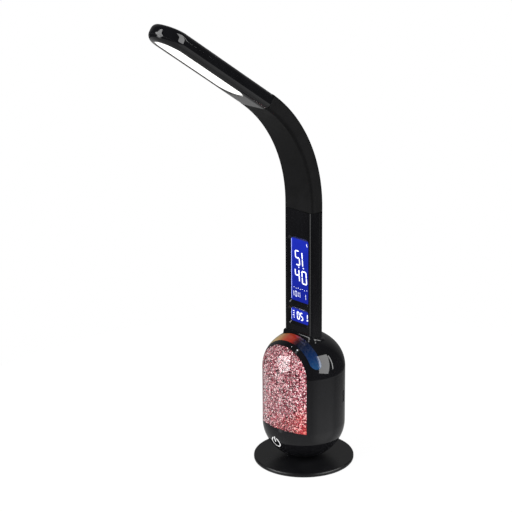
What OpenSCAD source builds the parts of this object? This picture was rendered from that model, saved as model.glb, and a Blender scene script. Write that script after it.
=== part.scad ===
// Desk lamp: capsule body with a lit glitter window on a disc foot, a clock column,
// a flexible neck and a flat light head. Millimetres.
// Front is -Y, up is +Z, and the origin is the centre of the foot's underside.

/* [Foot] */
// Diameter of the foot disc
foot_d = 113.6; // [104:0.2:130]
// Thickness of the foot disc
foot_t = 4.8; // [3.4:0.1:6]
// Radius of the rounded edge of the foot disc
foot_edge_r = 1.5; // [0.8:0.1:1.6]
// Thickness of the anti-slip pad
pad_t = 1; // [0.8:0.1:1.4]
// How far the pad stands out under the disc
pad_proud = 0.4; // [0.2:0.1:0.6]
// Bare rim of the disc around the pad
pad_margin = 6; // [4:1:10]

/* [Body] */
// Outer diameter of the capsule body
body_d = 93.2; // [90:0.2:98]
// Height of the rounded bowl above the foot disc
bowl_h = 42; // [40:0.4:46]
// Height of the straight wall of the body
straight_h = 64.8; // [62:0.2:80]
// Height of the dome above the straight wall
dome_h = 41.8; // [40:0.2:45]
// Radius of the shoulder arcs of the dome and the bowl
shoulder_r = 38; // [34:1:38]
// Wall of the body shells
body_wall = 2.4; // [2:0.1:3]
// Height of the seam between shell and dome, under the end of the straight wall
seam_drop = 1; // [0.5:0.5:4]
// Thickness of the floor of the body
floor_t = 3; // [2.4:0.2:4]
// Clearance between parts that fit into one another
fit = 0.2; // [0.1:0.05:0.3]

/* [Glitter window] */
// Distance from the body's axis to the plane that cuts the window
window_y = 30; // [29:0.5:33]
// Height of the window's sill at its ends
sill_z = 47.4; // [45:0.2:56]
// Rise of the sill towards the front, in degrees
sill_tilt = 12.5; // [5:0.5:15]
// Thickness of the window's hidden flange
flange_t = 1.2; // [0.8:0.1:1.6]
// Width of the window's hidden flange
flange_w = 2; // [1:0.2:2.4]
// Thickness of the glitter sheet
glitter_t = 0.8; // [0.5:0.1:1]
// Distance from the body's axis to the back of the light box
box_y = 18; // [16:0.5:20]
// Wall of the light box
box_wall = 1.6; // [1.2:0.1:2]
// Width of the board with the colour lights
rgb_w = 40; // [30:1:46]
// Height of the board with the colour lights
rgb_h = 66; // [50:1:70]
// Thickness of the circuit boards
board_t = 1.6; // [1.2:0.1:2]

/* [Colour strip] */
// Width of the touch strip, from front to back
strip_w = 12; // [9:0.5:13]
// Distance from the body's axis to the middle of the strip
strip_y = 18.5; // [18:0.5:20]
// Height of the strip's round ends above the end of the straight wall
strip_end_h = 11.5; // [8:0.5:16]
// Thickness of the strip
strip_t = 1.2; // [0.8:0.1:1.4]
// Outer diameter of the power symbol
icon_d = 13; // [12:1:18]
// Line width of the power symbol
icon_line = 1.4; // [1.2:0.1:2]
// Height of the centre of the power symbol
icon_z = 32; // [28:0.5:33]
// Depth of the power symbol's inlay
icon_t = 0.4; // [0.3:0.1:0.8]

/* [Ports] */
// Direction of the charging port, in degrees from the front
usb_angle = 118; // [105:1:135]
// Height of the centre of the charging port
usb_z = 81; // [70:1:90]
// Width of the charging port's shell
usb_w = 5.8; // [5.6:0.1:6.2]
// Height of the charging port's shell
usb_h = 13.2; // [13:0.1:13.6]
// Depth of the charging port's shell
usb_depth = 14; // [12:0.5:16]
// Height of the centre of the power inlet
inlet_z = 29; // [24:1:32]
// Outer diameter of the power inlet
inlet_d = 9; // [8:0.5:10]
// Bore of the power inlet
inlet_bore = 5.5; // [5:0.1:6.4]
// Depth of the power inlet's bore
inlet_depth = 9; // [7:0.5:10]

/* [Clock column] */
// Width of the column and the neck
col_w = 44.4; // [41:0.2:46]
// Thickness of the column and the neck
col_t = 17.6; // [15.4:0.2:18]
// Radius of the column's upright edges
col_r = 4; // [3:0.5:4.5]
// Height of the top of the column
col_top = 295; // [285:1:310]
// How far the column stands in the dome
col_sink = 13; // [12:0.5:15]
// Side and back wall of the column
col_wall = 1.8; // [1.5:0.1:2]
// Front wall of the column, which is the depth of the display recesses
col_front_wall = 2.5; // [2:0.1:2.8]
// Distance from the column's middle to its side seam, towards the back
col_seam_y = 2; // [1.5:0.5:3]
// Height of the collar over the top of the dome
collar_h = 4.2; // [3.6:0.2:5]
// How far the crown of the collar lies in front of the column's middle
collar_lead = 10; // [6:0.5:10.5]
// How far the collar stands out from the column at its foot
collar_w = 3.6; // [2:0.2:4]

/* [Displays] */
// Visible width of both displays
lcd_w = 26.4; // [22:0.2:28]
// Height of the bottom of the main display
lcd_z = 189.4; // [186:0.2:196]
// Visible height of the main display
lcd_h = 71.8; // [60:0.2:73]
// Visible height of the lower display
low_lcd_h = 14.8; // [12:0.2:16]
// Gap between the two visible fields
lcd_gap = 9.8; // [9:0.2:12]
// Width of the bevel around a display
lcd_bevel = 3; // [2.5:0.1:4]
// Corner radius of a display field
lcd_r = 1.5; // [1:0.1:2.5]
// Hidden border of the display glass
lcd_border = 2; // [1:0.1:2.4]
// Thickness of the display glass
lcd_t = 2.4; // [2:0.1:2.6]
// Thickness of the display backlight
backlight_t = 1.4; // [1:0.1:1.6]

/* [Set buttons] */
// Diameter of the set buttons
button_d = 7; // [6:0.2:8]
// Distance from one set button to the next
button_pitch = 14; // [12:0.5:16]
// Height of the middle set button
button_z = 229; // [220:1:240]
// How far a button stands out of the back
button_proud = 0.8; // [0.6:0.1:1.2]
// Travel of a set button
button_travel = 0.5; // [0.3:0.05:0.6]

/* [Neck] */
// Straight part of the neck over the column
neck_straight = 5; // [3:0.5:8]
// Radius of the neck's bend
neck_r = 154; // [150:1:175]
// Angle of the neck's bend
neck_angle = 56; // [50:0.5:60]
// Wall of the rubber sleeve
sleeve_wall = 2.5; // [2:0.1:2.8]
// Diameter of the hinge pins
pin_d = 4; // [3:0.1:4.4]
// Diameter of the hinge knuckles
knuckle_d = 9; // [8:0.1:9.4]
// Width of a link
link_w = 32; // [28:1:34]
// Thickness of a link
link_t = 7; // [6:0.5:8]
// Width of a link's middle knuckle
eye_w = 12; // [8:1:14]
// Distance from the end of the sleeve to the nearest hinge
hinge_inset = 12.3; // [11.5:0.1:14]
// Running clearance of the hinges
hinge_gap = 0.05; // [0.03:0.01:0.08]

/* [Light head] */
// Length of the head
head_l = 159; // [150:1:170]
// Width of the head
head_w = 45; // [45:0.5:48]
// Thickness of the head
head_t = 18.4; // [18:0.2:20]
// Radius of the head's long edges
head_r = 7.5; // [5:0.5:7.5]
// How far the head's top falls towards its tip
head_drop = 2; // [1:0.2:3]
// Length over which the head's top falls
head_drop_l = 30; // [24:1:40]
// Wall of the head
head_wall = 1.8; // [1.5:0.1:2]
// Height of the lower shell of the head
bezel_h = 5; // [4.5:0.1:6]
// Visible width of the light panel
panel_w = 34.4; // [30:0.2:35]
// Distance from the head's root to the light panel
panel_start = 25; // [24.5:0.5:40]
// Distance from the light panel to the tip of the head
panel_tip = 9; // [7:0.5:12]
// Hidden lip of the light panel
panel_lip = 1.2; // [0.8:0.1:1.2]
// Thickness of the light panel
panel_t = 2; // [1.5:0.1:2.2]
// Distance from the light panel to the board with the lights
light_depth = 5.6; // [4:0.1:6]

/* [Hidden] */
$fn = 96;
HULL_FN = 32;
HINGES = 6;
EPS = 0.01;
BIG = 400;
touch = 0.1;
seat = 0.3;

body_r = body_d / 2;
disc_z = pad_proud;
disc_top = disc_z + foot_t;
bowl_z = disc_top + bowl_h;
dome_z = bowl_z + straight_h;
body_top = dome_z + dome_h;
seam_z = dome_z - seam_drop;
floor_top = disc_top + floor_t;
bowl_sink = 1.7;
shoulder_x = body_r - shoulder_r;
pad_d = foot_d - 2 * pad_margin;

// Radius of the arc that closes a dome of height h tangent to its shoulder arc
function cap_r(h) = (shoulder_x * shoulder_x + h * h - shoulder_r * shoulder_r) / (2 * (h - shoulder_r));
dome_r = cap_r(dome_h);
bowl_r = cap_r(bowl_h + bowl_sink);
dome_c = [0, body_top - dome_r];
bowl_c = [0, disc_top - bowl_sink + bowl_r];

// Screws: the shanks, their heads, how deep they bite, and the holes for them
screw_d = 3;
screw_head_d = 5.6;
screw_head_h = 1.4;
board_shank_d = 1.8;
mount_shank_d = 2;
col_shank_d = 1.6;
head_shank_d = 1.6;
small_head_d = 4.4;
small_head_h = 1.2;
tiny_head_d = 3.4;
tiny_head_h = 0.9;
board_bite = 4.2;
dome_bite = 3.6;
head_bite = 3.4;
function pilot(d) = d + 2 * touch;
function through(d) = d + 2 * touch + 2 * fit;

base_screw_r = 7;
lip_t = 1.2;
lip_h = 3;
ballast_h = inlet_z - inlet_d / 2 - 1.3 - floor_top;

lens_back = body_wall + flange_t;
glitter_in = lens_back + touch;
tray_in = glitter_in + glitter_t + touch;
tray_front_y = window_y - flange_w;
rgb_z = sill_z + 14;
led_size = 5;
led_t = 1.6;
main_board_y = 4;
main_board_w = 54;
main_board_z = 33;
main_board_h = 64;
post_d = 7;
post_z = [main_board_z + 8, main_board_z + main_board_h - 8];
post_x = 18;
// Parts on the main board: x and height on the board, then width, depth and height
BOARD_CHIPS = [[-9, 26, 12, 1.8, 12], [-14, 46, 9, 1.6, 6], [2, 44, 10, 6, 10]];
// Capacitors on the main board: x and height on the board, then diameter and length
BOARD_CANS = [[-6, 12, 8, 11], [5, 12, 8, 11], [9, 28, 6, 7]];

strip_r = strip_w / 2;
strip_z = dome_z + strip_end_h + strip_r;
foil_t = 0.4;

usb_out = body_r - 0.5;
inlet_out = bowl_c[1] > inlet_z ? sqrt(pow(bowl_r, 2) - pow(bowl_c[1] - inlet_z, 2)) : body_r;
inlet_pin_d = 2.1;

col_z0 = body_top - col_sink;
col_floor = 5;
plate_t = 3;
plate_z = col_z0 - plate_t;
dome_post_x = col_w / 2 - 1.3;
dome_post_y = col_t / 2 + 0.9;
dome_post_d = 6;
plate_x = dome_post_x + 3.8;
plate_y = dome_post_y + 2.8;
foot_screw_x = 12;
foot_screw_y = [-3.2, 5];
wire_hole_w = 12;
wire_hole_t = 4;
wire_hole_y = 0.8;
collar_top_z = body_top + collar_h + 1;
collar_sink = 9;
collar_foot_z = body_top - collar_sink;
collar_lip = 0.8;

col_front_in = -col_t / 2 + col_front_wall;
col_back_in = col_t / 2 - col_wall;
low_lcd_z = lcd_z - lcd_gap - low_lcd_h;
lcd_back = col_front_in + lcd_t;
clock_y = lcd_back + backlight_t;
clock_t = 1.2;
clock_w = link_w + 1;
clock_z0 = low_lcd_z;
clock_z1 = lcd_z + lcd_h;
col_screw_x = col_w / 2 - col_wall - 3.4;
col_screw_z = [low_lcd_z - lcd_border - 3.2, clock_z1 + lcd_border + 9];
col_boss_d = 5;

switch_w = 6;
switch_y = clock_y + clock_t;
button_flange = 1;
button_in = col_back_in - seat - button_flange;
switch_gap = button_travel + 0.2;
switch_t = 3;
switch_stem_h = 0.8;
stem_d = 3;
cell_d = 20;
cell_t = 3.2;
cell_z = button_z - button_pitch - switch_w / 2 - cell_d / 2 - 1;

// The neck's middle line, from the top of the column to the root of the head
arc_len = neck_r * neck_angle * PI / 180;
neck_len = neck_straight + arc_len;
function arc_angle(s) = max(0, s - neck_straight) / neck_r * 180 / PI;
function spine(s) = s < neck_straight
    ? [0, 0, col_top + s]
    : [0, -neck_r * (1 - cos(arc_angle(s))), col_top + neck_straight + neck_r * sin(arc_angle(s))];
hinge_step = (neck_len - 2 * hinge_inset) / (HINGES - 1);
function hinge(i) = spine(hinge_inset + (i - 1) * hinge_step);
function lean(a, b) = atan2(a[1] - b[1], b[2] - a[2]);
head_pos = spine(neck_len);
ear_in = eye_w / 2 + seat;
bar_end = knuckle_d / 2 + 1.5;
root_block_w = col_w - 2 * col_wall - 2 * seat;
root_block_h = 16;
tip_block_l = 22;
tip_block_w = col_w - 2 * sleeve_wall - 2 * seat - 1;
tip_block_t = 9;

head_tip_c = head_l - head_w / 2;
head_in = head_t / 2 - head_wall;
head_drop_lift = 0.05;
head_fall = head_drop + head_drop_lift;
head_drop_r = (head_drop_l * head_drop_l + head_fall * head_fall) / (2 * head_fall);
panel_len = head_l - panel_start - panel_tip;
panel_y = -head_in + touch;
panel_back = panel_y + panel_t;
led_board_y = panel_back + light_depth;
led_board_t = 1;
led_board_inset = 0.5;
light_tray_wall = 1.2;
pocket_gap = 0.15;
led_cols = 10;
led_row_pitch = 6.4;
led_margin = 8;
head_led_w = 2.8;
head_led_l = 3.5;
head_led_t = 0.8;
head_post_d = 5;
head_post_x = 11;
head_post_z = [panel_start + 12, head_l - panel_tip - 22];

// ---------- shared shapes ----------

// Rounded rectangle of width w along X and thickness t along Y
module round_rect(w, t, r) {
    square([w - 2 * r, t], center = true);
    square([w, t - 2 * r], center = true);
    for (x = [-1, 1], y = [-1, 1]) {
        translate([x * (w / 2 - r), y * (t / 2 - r)]) circle(r = r);
    }
}

// A plate with the rounded outline, standing upright with its face towards -Y
module upright_plate(w, h, r, y, t) {
    translate([0, y + t, h / 2]) rotate([90, 0, 0]) linear_extrude(t) round_rect(w, h, r);
}

// Sector of the profile between the axis and the shoulder, then the shoulder itself
module profile_arcs(cap_c, arc_c, r_cap, inset, way) {
    reach = arc_c - cap_c;
    far = cap_c + reach / norm(reach) * 2 * r_cap;
    intersection() {
        translate(cap_c) circle(r = r_cap - inset, $fn = 180);
        polygon([cap_c, [0, cap_c[1] + way * 2 * r_cap], far]);
    }
    intersection() {
        translate(arc_c) circle(r = shoulder_r - inset, $fn = 180);
        translate([0, way > 0 ? arc_c[1] : arc_c[1] - BIG]) square(BIG);
    }
}

// The capsule, drawn in by inset on every side
module body_solid(inset) {
    top_c = [shoulder_x, dome_z];
    low_c = [shoulder_x, bowl_z];
    rotate_extrude() {
        profile_arcs(dome_c, top_c, dome_r, inset, 1);
        profile_arcs(bowl_c, low_c, bowl_r, inset, -1);
        polygon([bowl_c, low_c, [body_r - inset, bowl_z], [body_r - inset, dome_z], top_c, dome_c]);
    }
}

// Everything between two heights
module band(z0, z1) {
    translate([-BIG / 2, -BIG / 2, z0]) cube([BIG, BIG, z1 - z0]);
}

// Everything in front of the plane at distance y and above the tilted sill
module front_cut(y, z) {
    intersection() {
        translate([-BIG / 2, -y - BIG, 0]) cube([BIG, BIG, BIG]);
        translate([0, -window_y, z]) rotate([-sill_tilt, 0, 0]) {
            translate([-BIG / 2, -BIG / 2, 0]) cube([BIG, BIG, BIG]);
        }
    }
}

// The slot over the dome that holds the touch strip, grown by g
module strip_cut(g) {
    rotate([90, 0, 90]) linear_extrude(BIG, center = true) {
        translate([-strip_y, strip_z]) circle(r = strip_r + g);
        translate([-strip_y - strip_r - g, strip_z]) square([strip_w + 2 * g, BIG]);
    }
}

// Outline of the power symbol, grown by g
module icon_outline(g) {
    icon_r = icon_d / 2;
    gap = icon_d * 0.34;
    difference() {
        circle(r = icon_r + g);
        circle(r = icon_r - icon_line - g);
        translate([-gap / 2 + g, 0]) square([gap - 2 * g, icon_d]);
    }
    translate([-icon_line / 2 - g, icon_d * 0.02 - g]) square([icon_line + 2 * g, icon_d * 0.55 + 2 * g]);
}

module icon_cut(g) {
    translate([0, 0, icon_z]) rotate([90, 0, 0]) linear_extrude(BIG) icon_outline(g);
}

// Screw with a flat head, its shank along +Z from the head's inner face
module screw(d, l, head_d, head_h) {
    cylinder(d = d, h = l, $fn = 32);
    translate([0, 0, -head_h]) cylinder(d = head_d, h = head_h, $fn = 32);
}

module at_base_screws() {
    for (a = [90, 210, 330]) {
        rotate([0, 0, a]) translate([base_screw_r, 0, 0]) children();
    }
}

module at_board_posts() {
    for (x = [-post_x, post_x], z = post_z) {
        translate([x, 0, z]) rotate([-90, 0, 0]) children();
    }
}

module at_dome_posts() {
    for (x = [-dome_post_x, dome_post_x], y = [-dome_post_y, dome_post_y]) {
        translate([x, y, 0]) children();
    }
}

module at_foot_screws() {
    for (x = [-foot_screw_x, foot_screw_x], y = foot_screw_y) {
        translate([x, y, 0]) children();
    }
}

module at_column_screws() {
    for (x = [-col_screw_x, col_screw_x], z = col_screw_z) {
        translate([x, 0, z]) rotate([-90, 0, 0]) children();
    }
}

// The middle of each set button, with +Z pointing backwards
module at_set_buttons() {
    for (i = [-1, 0, 1]) {
        translate([0, 0, button_z + i * button_pitch]) rotate([-90, 0, 0]) children();
    }
}

module at_usb() {
    rotate([0, 0, usb_angle - 90]) translate([usb_out, 0, usb_z]) children();
}

// The column's outline with its clearance, from z up
module column_hole(z) {
    translate([0, 0, z]) linear_extrude(BIG) round_rect(col_w + 2 * fit, col_t + 2 * fit, col_r + fit);
}

// Slot for the wires between the body and the column
module wire_hole(z, h) {
    translate([0, wire_hole_y, z]) linear_extrude(h) square([wire_hole_w, wire_hole_t], center = true);
}

// ---------- foot ----------

module foot_pad() {
    color("#1c1c1e") cylinder(d = pad_d - 2 * fit, h = pad_t, $fn = 180);
}

module foot_disc() {
    color("#141416") difference() {
        rotate_extrude($fn = 180) {
            flat_r = foot_d / 2 - foot_edge_r;
            translate([0, disc_z]) square([flat_r, foot_t]);
            translate([flat_r - EPS, disc_z + foot_edge_r]) {
                square([foot_edge_r + EPS, foot_t - 2 * foot_edge_r]);
            }
            for (z = [disc_z + foot_edge_r, disc_top - foot_edge_r]) {
                translate([flat_r, z]) circle(r = foot_edge_r);
            }
        }
        translate([0, 0, -EPS]) cylinder(d = pad_d, h = pad_t + EPS, $fn = 180);
        at_base_screws() translate([0, 0, -EPS]) cylinder(d = through(screw_d), h = BIG / 4, $fn = 32);
        at_base_screws() cylinder(d = screw_head_d + 2 * fit, h = pad_t + screw_head_h + fit, $fn = 32);
    }
}

module base_screws() {
    color("silver") at_base_screws() translate([0, 0, pad_t + screw_head_h]) {
        screw(screw_d, floor_top + ballast_h / 2 - pad_t - screw_head_h, screw_head_d, screw_head_h);
    }
}

module ballast() {
    color("#5b5d60") difference() {
        intersection() {
            body_solid(body_wall + seat);
            band(floor_top, floor_top + ballast_h);
        }
        at_base_screws() translate([0, 0, floor_top - EPS]) {
            cylinder(d = pilot(screw_d), h = ballast_h / 2 + 1, $fn = 32);
        }
    }
}

// ---------- body ----------

module body_shell() {
    color("#232326") difference() {
        intersection() {
            body_solid(0);
            band(disc_top, seam_z);
        }
        intersection() {
            body_solid(body_wall);
            band(floor_top, BIG);
        }
        front_cut(window_y, sill_z);
        at_base_screws() cylinder(d = through(screw_d), h = BIG / 4, $fn = 32);
        at_usb() cube([BIG / 8, usb_w + 2 * fit, usb_h + 2 * fit], center = true);
        translate([0, 0, inlet_z]) rotate([-90, 0, 0]) {
            cylinder(d = inlet_d + 2 * fit, h = BIG / 4, $fn = 64);
        }
        difference() {
            icon_cut(0);
            body_solid(icon_t);
        }
    }
}

module dome_cover() {
    lip_r = body_r - body_wall - fit;
    color("#0c0c0e") {
        difference() {
            intersection() {
                body_solid(0);
                band(seam_z, BIG);
            }
            intersection() {
                body_solid(body_wall);
                band(0, BIG);
            }
            front_cut(window_y, sill_z);
            column_hole(col_z0);
            difference() {
                strip_cut(0);
                body_solid(strip_t);
            }
        }
        difference() {
            union() {
                translate([0, 0, seam_z - lip_h]) cylinder(r = lip_r, h = lip_h + EPS, $fn = 180);
                translate([0, 0, seam_z]) cylinder(r = lip_r + 2 * fit, h = seam_drop, $fn = 180);
            }
            translate([0, 0, seam_z - lip_h - 1]) cylinder(r = lip_r - lip_t, h = BIG / 8, $fn = 180);
            front_cut(tray_front_y - 1, 0);
            at_usb() cube([BIG / 8, usb_w + 2, BIG / 4], center = true);
        }
        difference() {
            intersection() {
                at_dome_posts() translate([0, 0, col_z0]) cylinder(d = dome_post_d, h = dome_h, $fn = 48);
                body_solid(body_wall / 2 + strip_t / 2);
            }
            at_dome_posts() translate([0, 0, col_z0 - EPS]) {
                cylinder(d = pilot(mount_shank_d), h = dome_bite + 2, $fn = 32);
            }
            column_hole(col_z0);
        }
    }
}

module glitter_window() {
    color([0.95, 0.75, 0.8, 0.5]) {
        intersection() {
            difference() {
                body_solid(0);
                body_solid(lens_back);
            }
            front_cut(window_y + fit, sill_z + fit);
        }
        intersection() {
            difference() {
                body_solid(body_wall + touch);
                body_solid(lens_back);
            }
            front_cut(tray_front_y, sill_z - flange_w);
        }
    }
}

module glitter_sheet() {
    color("#e0526a") intersection() {
        difference() {
            body_solid(glitter_in);
            body_solid(glitter_in + glitter_t);
        }
        front_cut(tray_front_y, sill_z - flange_w);
    }
}

module light_box() {
    back_y = box_y + box_wall;
    color("white") difference() {
        union() {
            intersection() {
                body_solid(tray_in);
                front_cut(box_y, sill_z - flange_w);
                translate([-BIG / 2, -tray_front_y, 0]) cube([BIG, BIG, BIG]);
            }
            at_board_posts() translate([0, 0, -box_y - touch]) {
                cylinder(d = post_d, h = box_y + touch + main_board_y, $fn = 48);
            }
        }
        intersection() {
            body_solid(tray_in + box_wall);
            front_cut(back_y, sill_z - flange_w + box_wall);
        }
        at_board_posts() translate([0, 0, main_board_y - board_bite - 1]) {
            cylinder(d = pilot(board_shank_d), h = board_bite + 2, $fn = 32);
        }
    }
}

module rgb_board() {
    color("#f2f2ee") translate([-rgb_w / 2, -box_y - box_wall - board_t, rgb_z]) {
        cube([rgb_w, board_t, rgb_h]);
    }
}

// Three columns of four colour lights
module rgb_lights() {
    front_y = -box_y - box_wall - board_t;
    color("#fff6d0") for (x = [-1, 0, 1], z = [0.5:1:4]) {
        translate([x * rgb_w / 3 - led_size / 2, front_y - led_t, rgb_z + z * rgb_h / 4 - led_size / 2]) {
            cube([led_size, led_t, led_size]);
        }
    }
}

module main_board() {
    color("#1f6b3a") difference() {
        translate([-main_board_w / 2, main_board_y, main_board_z]) {
            cube([main_board_w, board_t, main_board_h]);
        }
        at_board_posts() translate([0, 0, main_board_y - 1]) {
            cylinder(d = through(board_shank_d), h = board_t + 2, $fn = 32);
        }
    }
}

module board_parts() {
    back = main_board_y + board_t;
    color("#2b2b2e") {
        for (c = BOARD_CHIPS) {
            translate([c[0], back, main_board_z + c[1]]) cube([c[2], c[3], c[4]]);
        }
        for (c = BOARD_CANS) {
            translate([c[0], back, main_board_z + c[1]]) rotate([-90, 0, 0]) {
                cylinder(d = c[2], h = c[3], $fn = 48);
            }
        }
    }
}

module board_screws() {
    color("silver") at_board_posts() translate([0, 0, main_board_y + board_t]) mirror([0, 0, 1]) {
        screw(board_shank_d, board_t + board_bite, small_head_d, small_head_h);
    }
}

module power_inlet() {
    color("#1a1a1c") translate([0, inlet_out - 0.3, inlet_z]) rotate([90, 0, 0]) {
        difference() {
            cylinder(d = inlet_d, h = inlet_depth + 3, $fn = 64);
            translate([0, 0, -1]) cylinder(d = inlet_bore, h = inlet_depth + 1, $fn = 64);
        }
        translate([0, 0, 1.5]) cylinder(d = inlet_pin_d, h = inlet_depth, $fn = 32);
    }
}

module usb_port() {
    shell = 0.4;
    tongue_t = 1.8;
    tongue_in = 1;
    color("#b9bcc0") at_usb() translate([-usb_depth, 0, 0]) {
        difference() {
            translate([0, -usb_w / 2, -usb_h / 2]) cube([usb_depth, usb_w, usb_h]);
            translate([1, -usb_w / 2 + shell, -usb_h / 2 + shell]) {
                cube([usb_depth, usb_w - 2 * shell, usb_h - 2 * shell]);
            }
        }
        translate([0, tongue_in - usb_w / 2, tongue_in - usb_h / 2]) {
            cube([usb_depth - 1.5, tongue_t, usb_h - 2 * tongue_in]);
        }
    }
}

module touch_strip() {
    color("#e05a20") intersection() {
        difference() {
            body_solid(0);
            body_solid(strip_t - touch);
        }
        strip_cut(-fit);
    }
}

module touch_foil() {
    color("#b08a3c") intersection() {
        difference() {
            body_solid(body_wall + touch);
            body_solid(body_wall + touch + foil_t);
        }
        strip_cut(-1);
    }
}

module power_symbol() {
    color("white") intersection() {
        difference() {
            body_solid(0);
            body_solid(icon_t);
        }
        icon_cut(-0.05);
    }
}

// ---------- column ----------

module column_plate() {
    color("#8a8d91") difference() {
        translate([-plate_x, -plate_y, plate_z]) cube([2 * plate_x, 2 * plate_y, plate_t]);
        translate([0, 0, plate_z - 1]) {
            at_dome_posts() cylinder(d = through(mount_shank_d), h = plate_t + 2, $fn = 32);
            at_foot_screws() cylinder(d = through(mount_shank_d), h = plate_t + 2, $fn = 32);
        }
        wire_hole(plate_z - 1, plate_t + 2);
    }
}

module mount_screws() {
    color("silver") translate([0, 0, plate_z]) {
        at_dome_posts() screw(mount_shank_d, plate_t + dome_bite, small_head_d, small_head_h);
        at_foot_screws() screw(mount_shank_d, plate_t + col_floor - 1, small_head_d, small_head_h);
    }
}

// A thin slice of the collar at height z that stands out from the column by g
module collar_slice(z, g) {
    slice = 0.2;
    translate([0, 0, z]) linear_extrude(slice) {
        round_rect(col_w + 2 * g, col_t + 2 * g, col_r + g, $fn = HULL_FN);
    }
}

// The collar's top has the form of the dome, lifted and moved to the front
module column_collar() {
    color("#101012") difference() {
        intersection() {
            hull() {
                collar_slice(collar_top_z, collar_lip);
                collar_slice(collar_foot_z, collar_w);
            }
            translate([0, -collar_lead, collar_h]) body_solid(0);
        }
        body_solid(-touch);
        column_hole(collar_foot_z - 1);
    }
}

// The column's tube from z0 up, with its cavity and its solid foot
module column_tube() {
    in_t = col_back_in - col_front_in;
    difference() {
        translate([0, 0, col_z0]) linear_extrude(col_top - col_z0) round_rect(col_w, col_t, col_r);
        translate([0, (col_back_in + col_front_in) / 2, col_z0 + col_floor]) {
            linear_extrude(BIG) round_rect(col_w - 2 * col_wall, in_t, col_r - col_wall);
        }
        wire_hole(col_z0 - 1, col_floor + 2);
        at_foot_screws() translate([0, 0, col_z0 - 1]) {
            cylinder(d = pilot(mount_shank_d), h = col_floor + 0.2, $fn = 32);
        }
    }
}

// Bevelled recess down to a display that is h high from z
module display_recess(z, h) {
    wide = 2 * lcd_bevel;
    front_y = -col_t / 2;
    translate([0, 0, z]) hull() {
        translate([0, 0, -lcd_bevel]) {
            upright_plate(lcd_w + wide, h + wide, lcd_r + lcd_bevel, front_y - touch, touch, $fn = HULL_FN);
        }
        upright_plate(lcd_w, h, lcd_r, col_front_in, EPS, $fn = HULL_FN);
    }
}

module column_front() {
    color("#17171a") {
        difference() {
            column_tube();
            translate([-BIG / 2, col_seam_y, 0]) cube([BIG, BIG, BIG]);
            display_recess(lcd_z, lcd_h);
            display_recess(low_lcd_z, low_lcd_h);
        }
        difference() {
            at_column_screws() translate([0, 0, col_front_in - EPS]) {
                cylinder(d = col_boss_d, h = col_seam_y - col_front_in, $fn = 32);
            }
            at_column_screws() translate([0, 0, col_front_in + 1]) {
                cylinder(d = pilot(col_shank_d), h = BIG / 8, $fn = 32);
            }
        }
    }
}

module column_back() {
    boss_h = col_back_in - col_seam_y - touch;
    color("#17171a") difference() {
        union() {
            intersection() {
                column_tube();
                translate([-BIG / 2, col_seam_y + EPS, 0]) cube([BIG, BIG, BIG]);
            }
            at_column_screws() translate([0, 0, col_back_in - boss_h]) {
                cylinder(d = col_boss_d, h = boss_h + EPS, $fn = 32);
            }
        }
        at_column_screws() cylinder(d = through(col_shank_d), h = BIG / 8, $fn = 32);
        at_column_screws() translate([0, 0, col_t / 2 - 1]) {
            cylinder(d = tiny_head_d + 2 * fit, h = 2, $fn = 32);
        }
        at_set_buttons() cylinder(d = button_d + 2 * fit, h = BIG / 8, $fn = 48);
    }
}

module column_screws() {
    shank_l = col_t / 2 - 1 - col_front_in - 1.2;
    color("silver") at_column_screws() translate([0, 0, col_t / 2 - 1]) mirror([0, 0, 1]) {
        screw(col_shank_d, shank_l, tiny_head_d, tiny_head_h);
    }
}

module display_glass(z, h) {
    gap = touch / 2;
    wide = 2 * lcd_border;
    translate([0, 0, z - lcd_border]) {
        upright_plate(lcd_w + wide, h + wide, lcd_r, col_front_in + gap, lcd_t - gap);
    }
}

module main_display() {
    color("#2438d8") display_glass(lcd_z, lcd_h);
}

module lower_display() {
    color("#2438d8") display_glass(low_lcd_z, low_lcd_h);
}

module display_backlight() {
    color("#e8ecff") for (f = [[lcd_z, lcd_h], [low_lcd_z, low_lcd_h]]) {
        translate([-lcd_w / 2, lcd_back, f[0]]) cube([lcd_w, backlight_t, f[1]]);
    }
}

module clock_board() {
    color("#1f6b3a") translate([-clock_w / 2, clock_y, clock_z0]) {
        cube([clock_w, clock_t, clock_z1 - clock_z0]);
    }
}

module clock_switches() {
    color("#2b2b2e") at_set_buttons() translate([0, 0, switch_y]) {
        translate([-switch_w / 2, -switch_w / 2, 0]) cube([switch_w, switch_w, switch_t - switch_stem_h]);
        cylinder(d = stem_d, h = switch_t, $fn = 32);
    }
}

module clock_cell() {
    color("#c9cbce") translate([0, switch_y + touch, cell_z]) rotate([-90, 0, 0]) {
        cylinder(d = cell_d, h = cell_t);
    }
}

// One set button, number i from the middle
module set_button(i) {
    stem_y = switch_y + switch_t + switch_gap;
    color("#202024") translate([0, 0, button_z + i * button_pitch]) rotate([-90, 0, 0]) {
        translate([0, 0, button_in]) {
            cylinder(d = button_d, h = col_t / 2 + button_proud - button_in, $fn = 48);
            cylinder(d = button_d + 2, h = button_flange, $fn = 48);
        }
        if (stem_y < button_in) {
            translate([0, 0, stem_y]) cylinder(d = stem_d, h = button_in - stem_y + EPS, $fn = 32);
        }
    }
}

module mode_button() {
    set_button(1);
}

module up_button() {
    set_button(0);
}

module down_button() {
    set_button(-1);
}

// ---------- neck ----------

// Places children at hinge i, with +Z towards the next hinge
module at_hinge(i) {
    next = i < HINGES ? hinge(i + 1) : head_pos;
    translate(hinge(i)) rotate([lean(hinge(i), next), 0, 0]) children();
}

module along_x(d, l) {
    rotate([0, 90, 0]) cylinder(d = d, h = l, center = true, $fn = 48);
}

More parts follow.
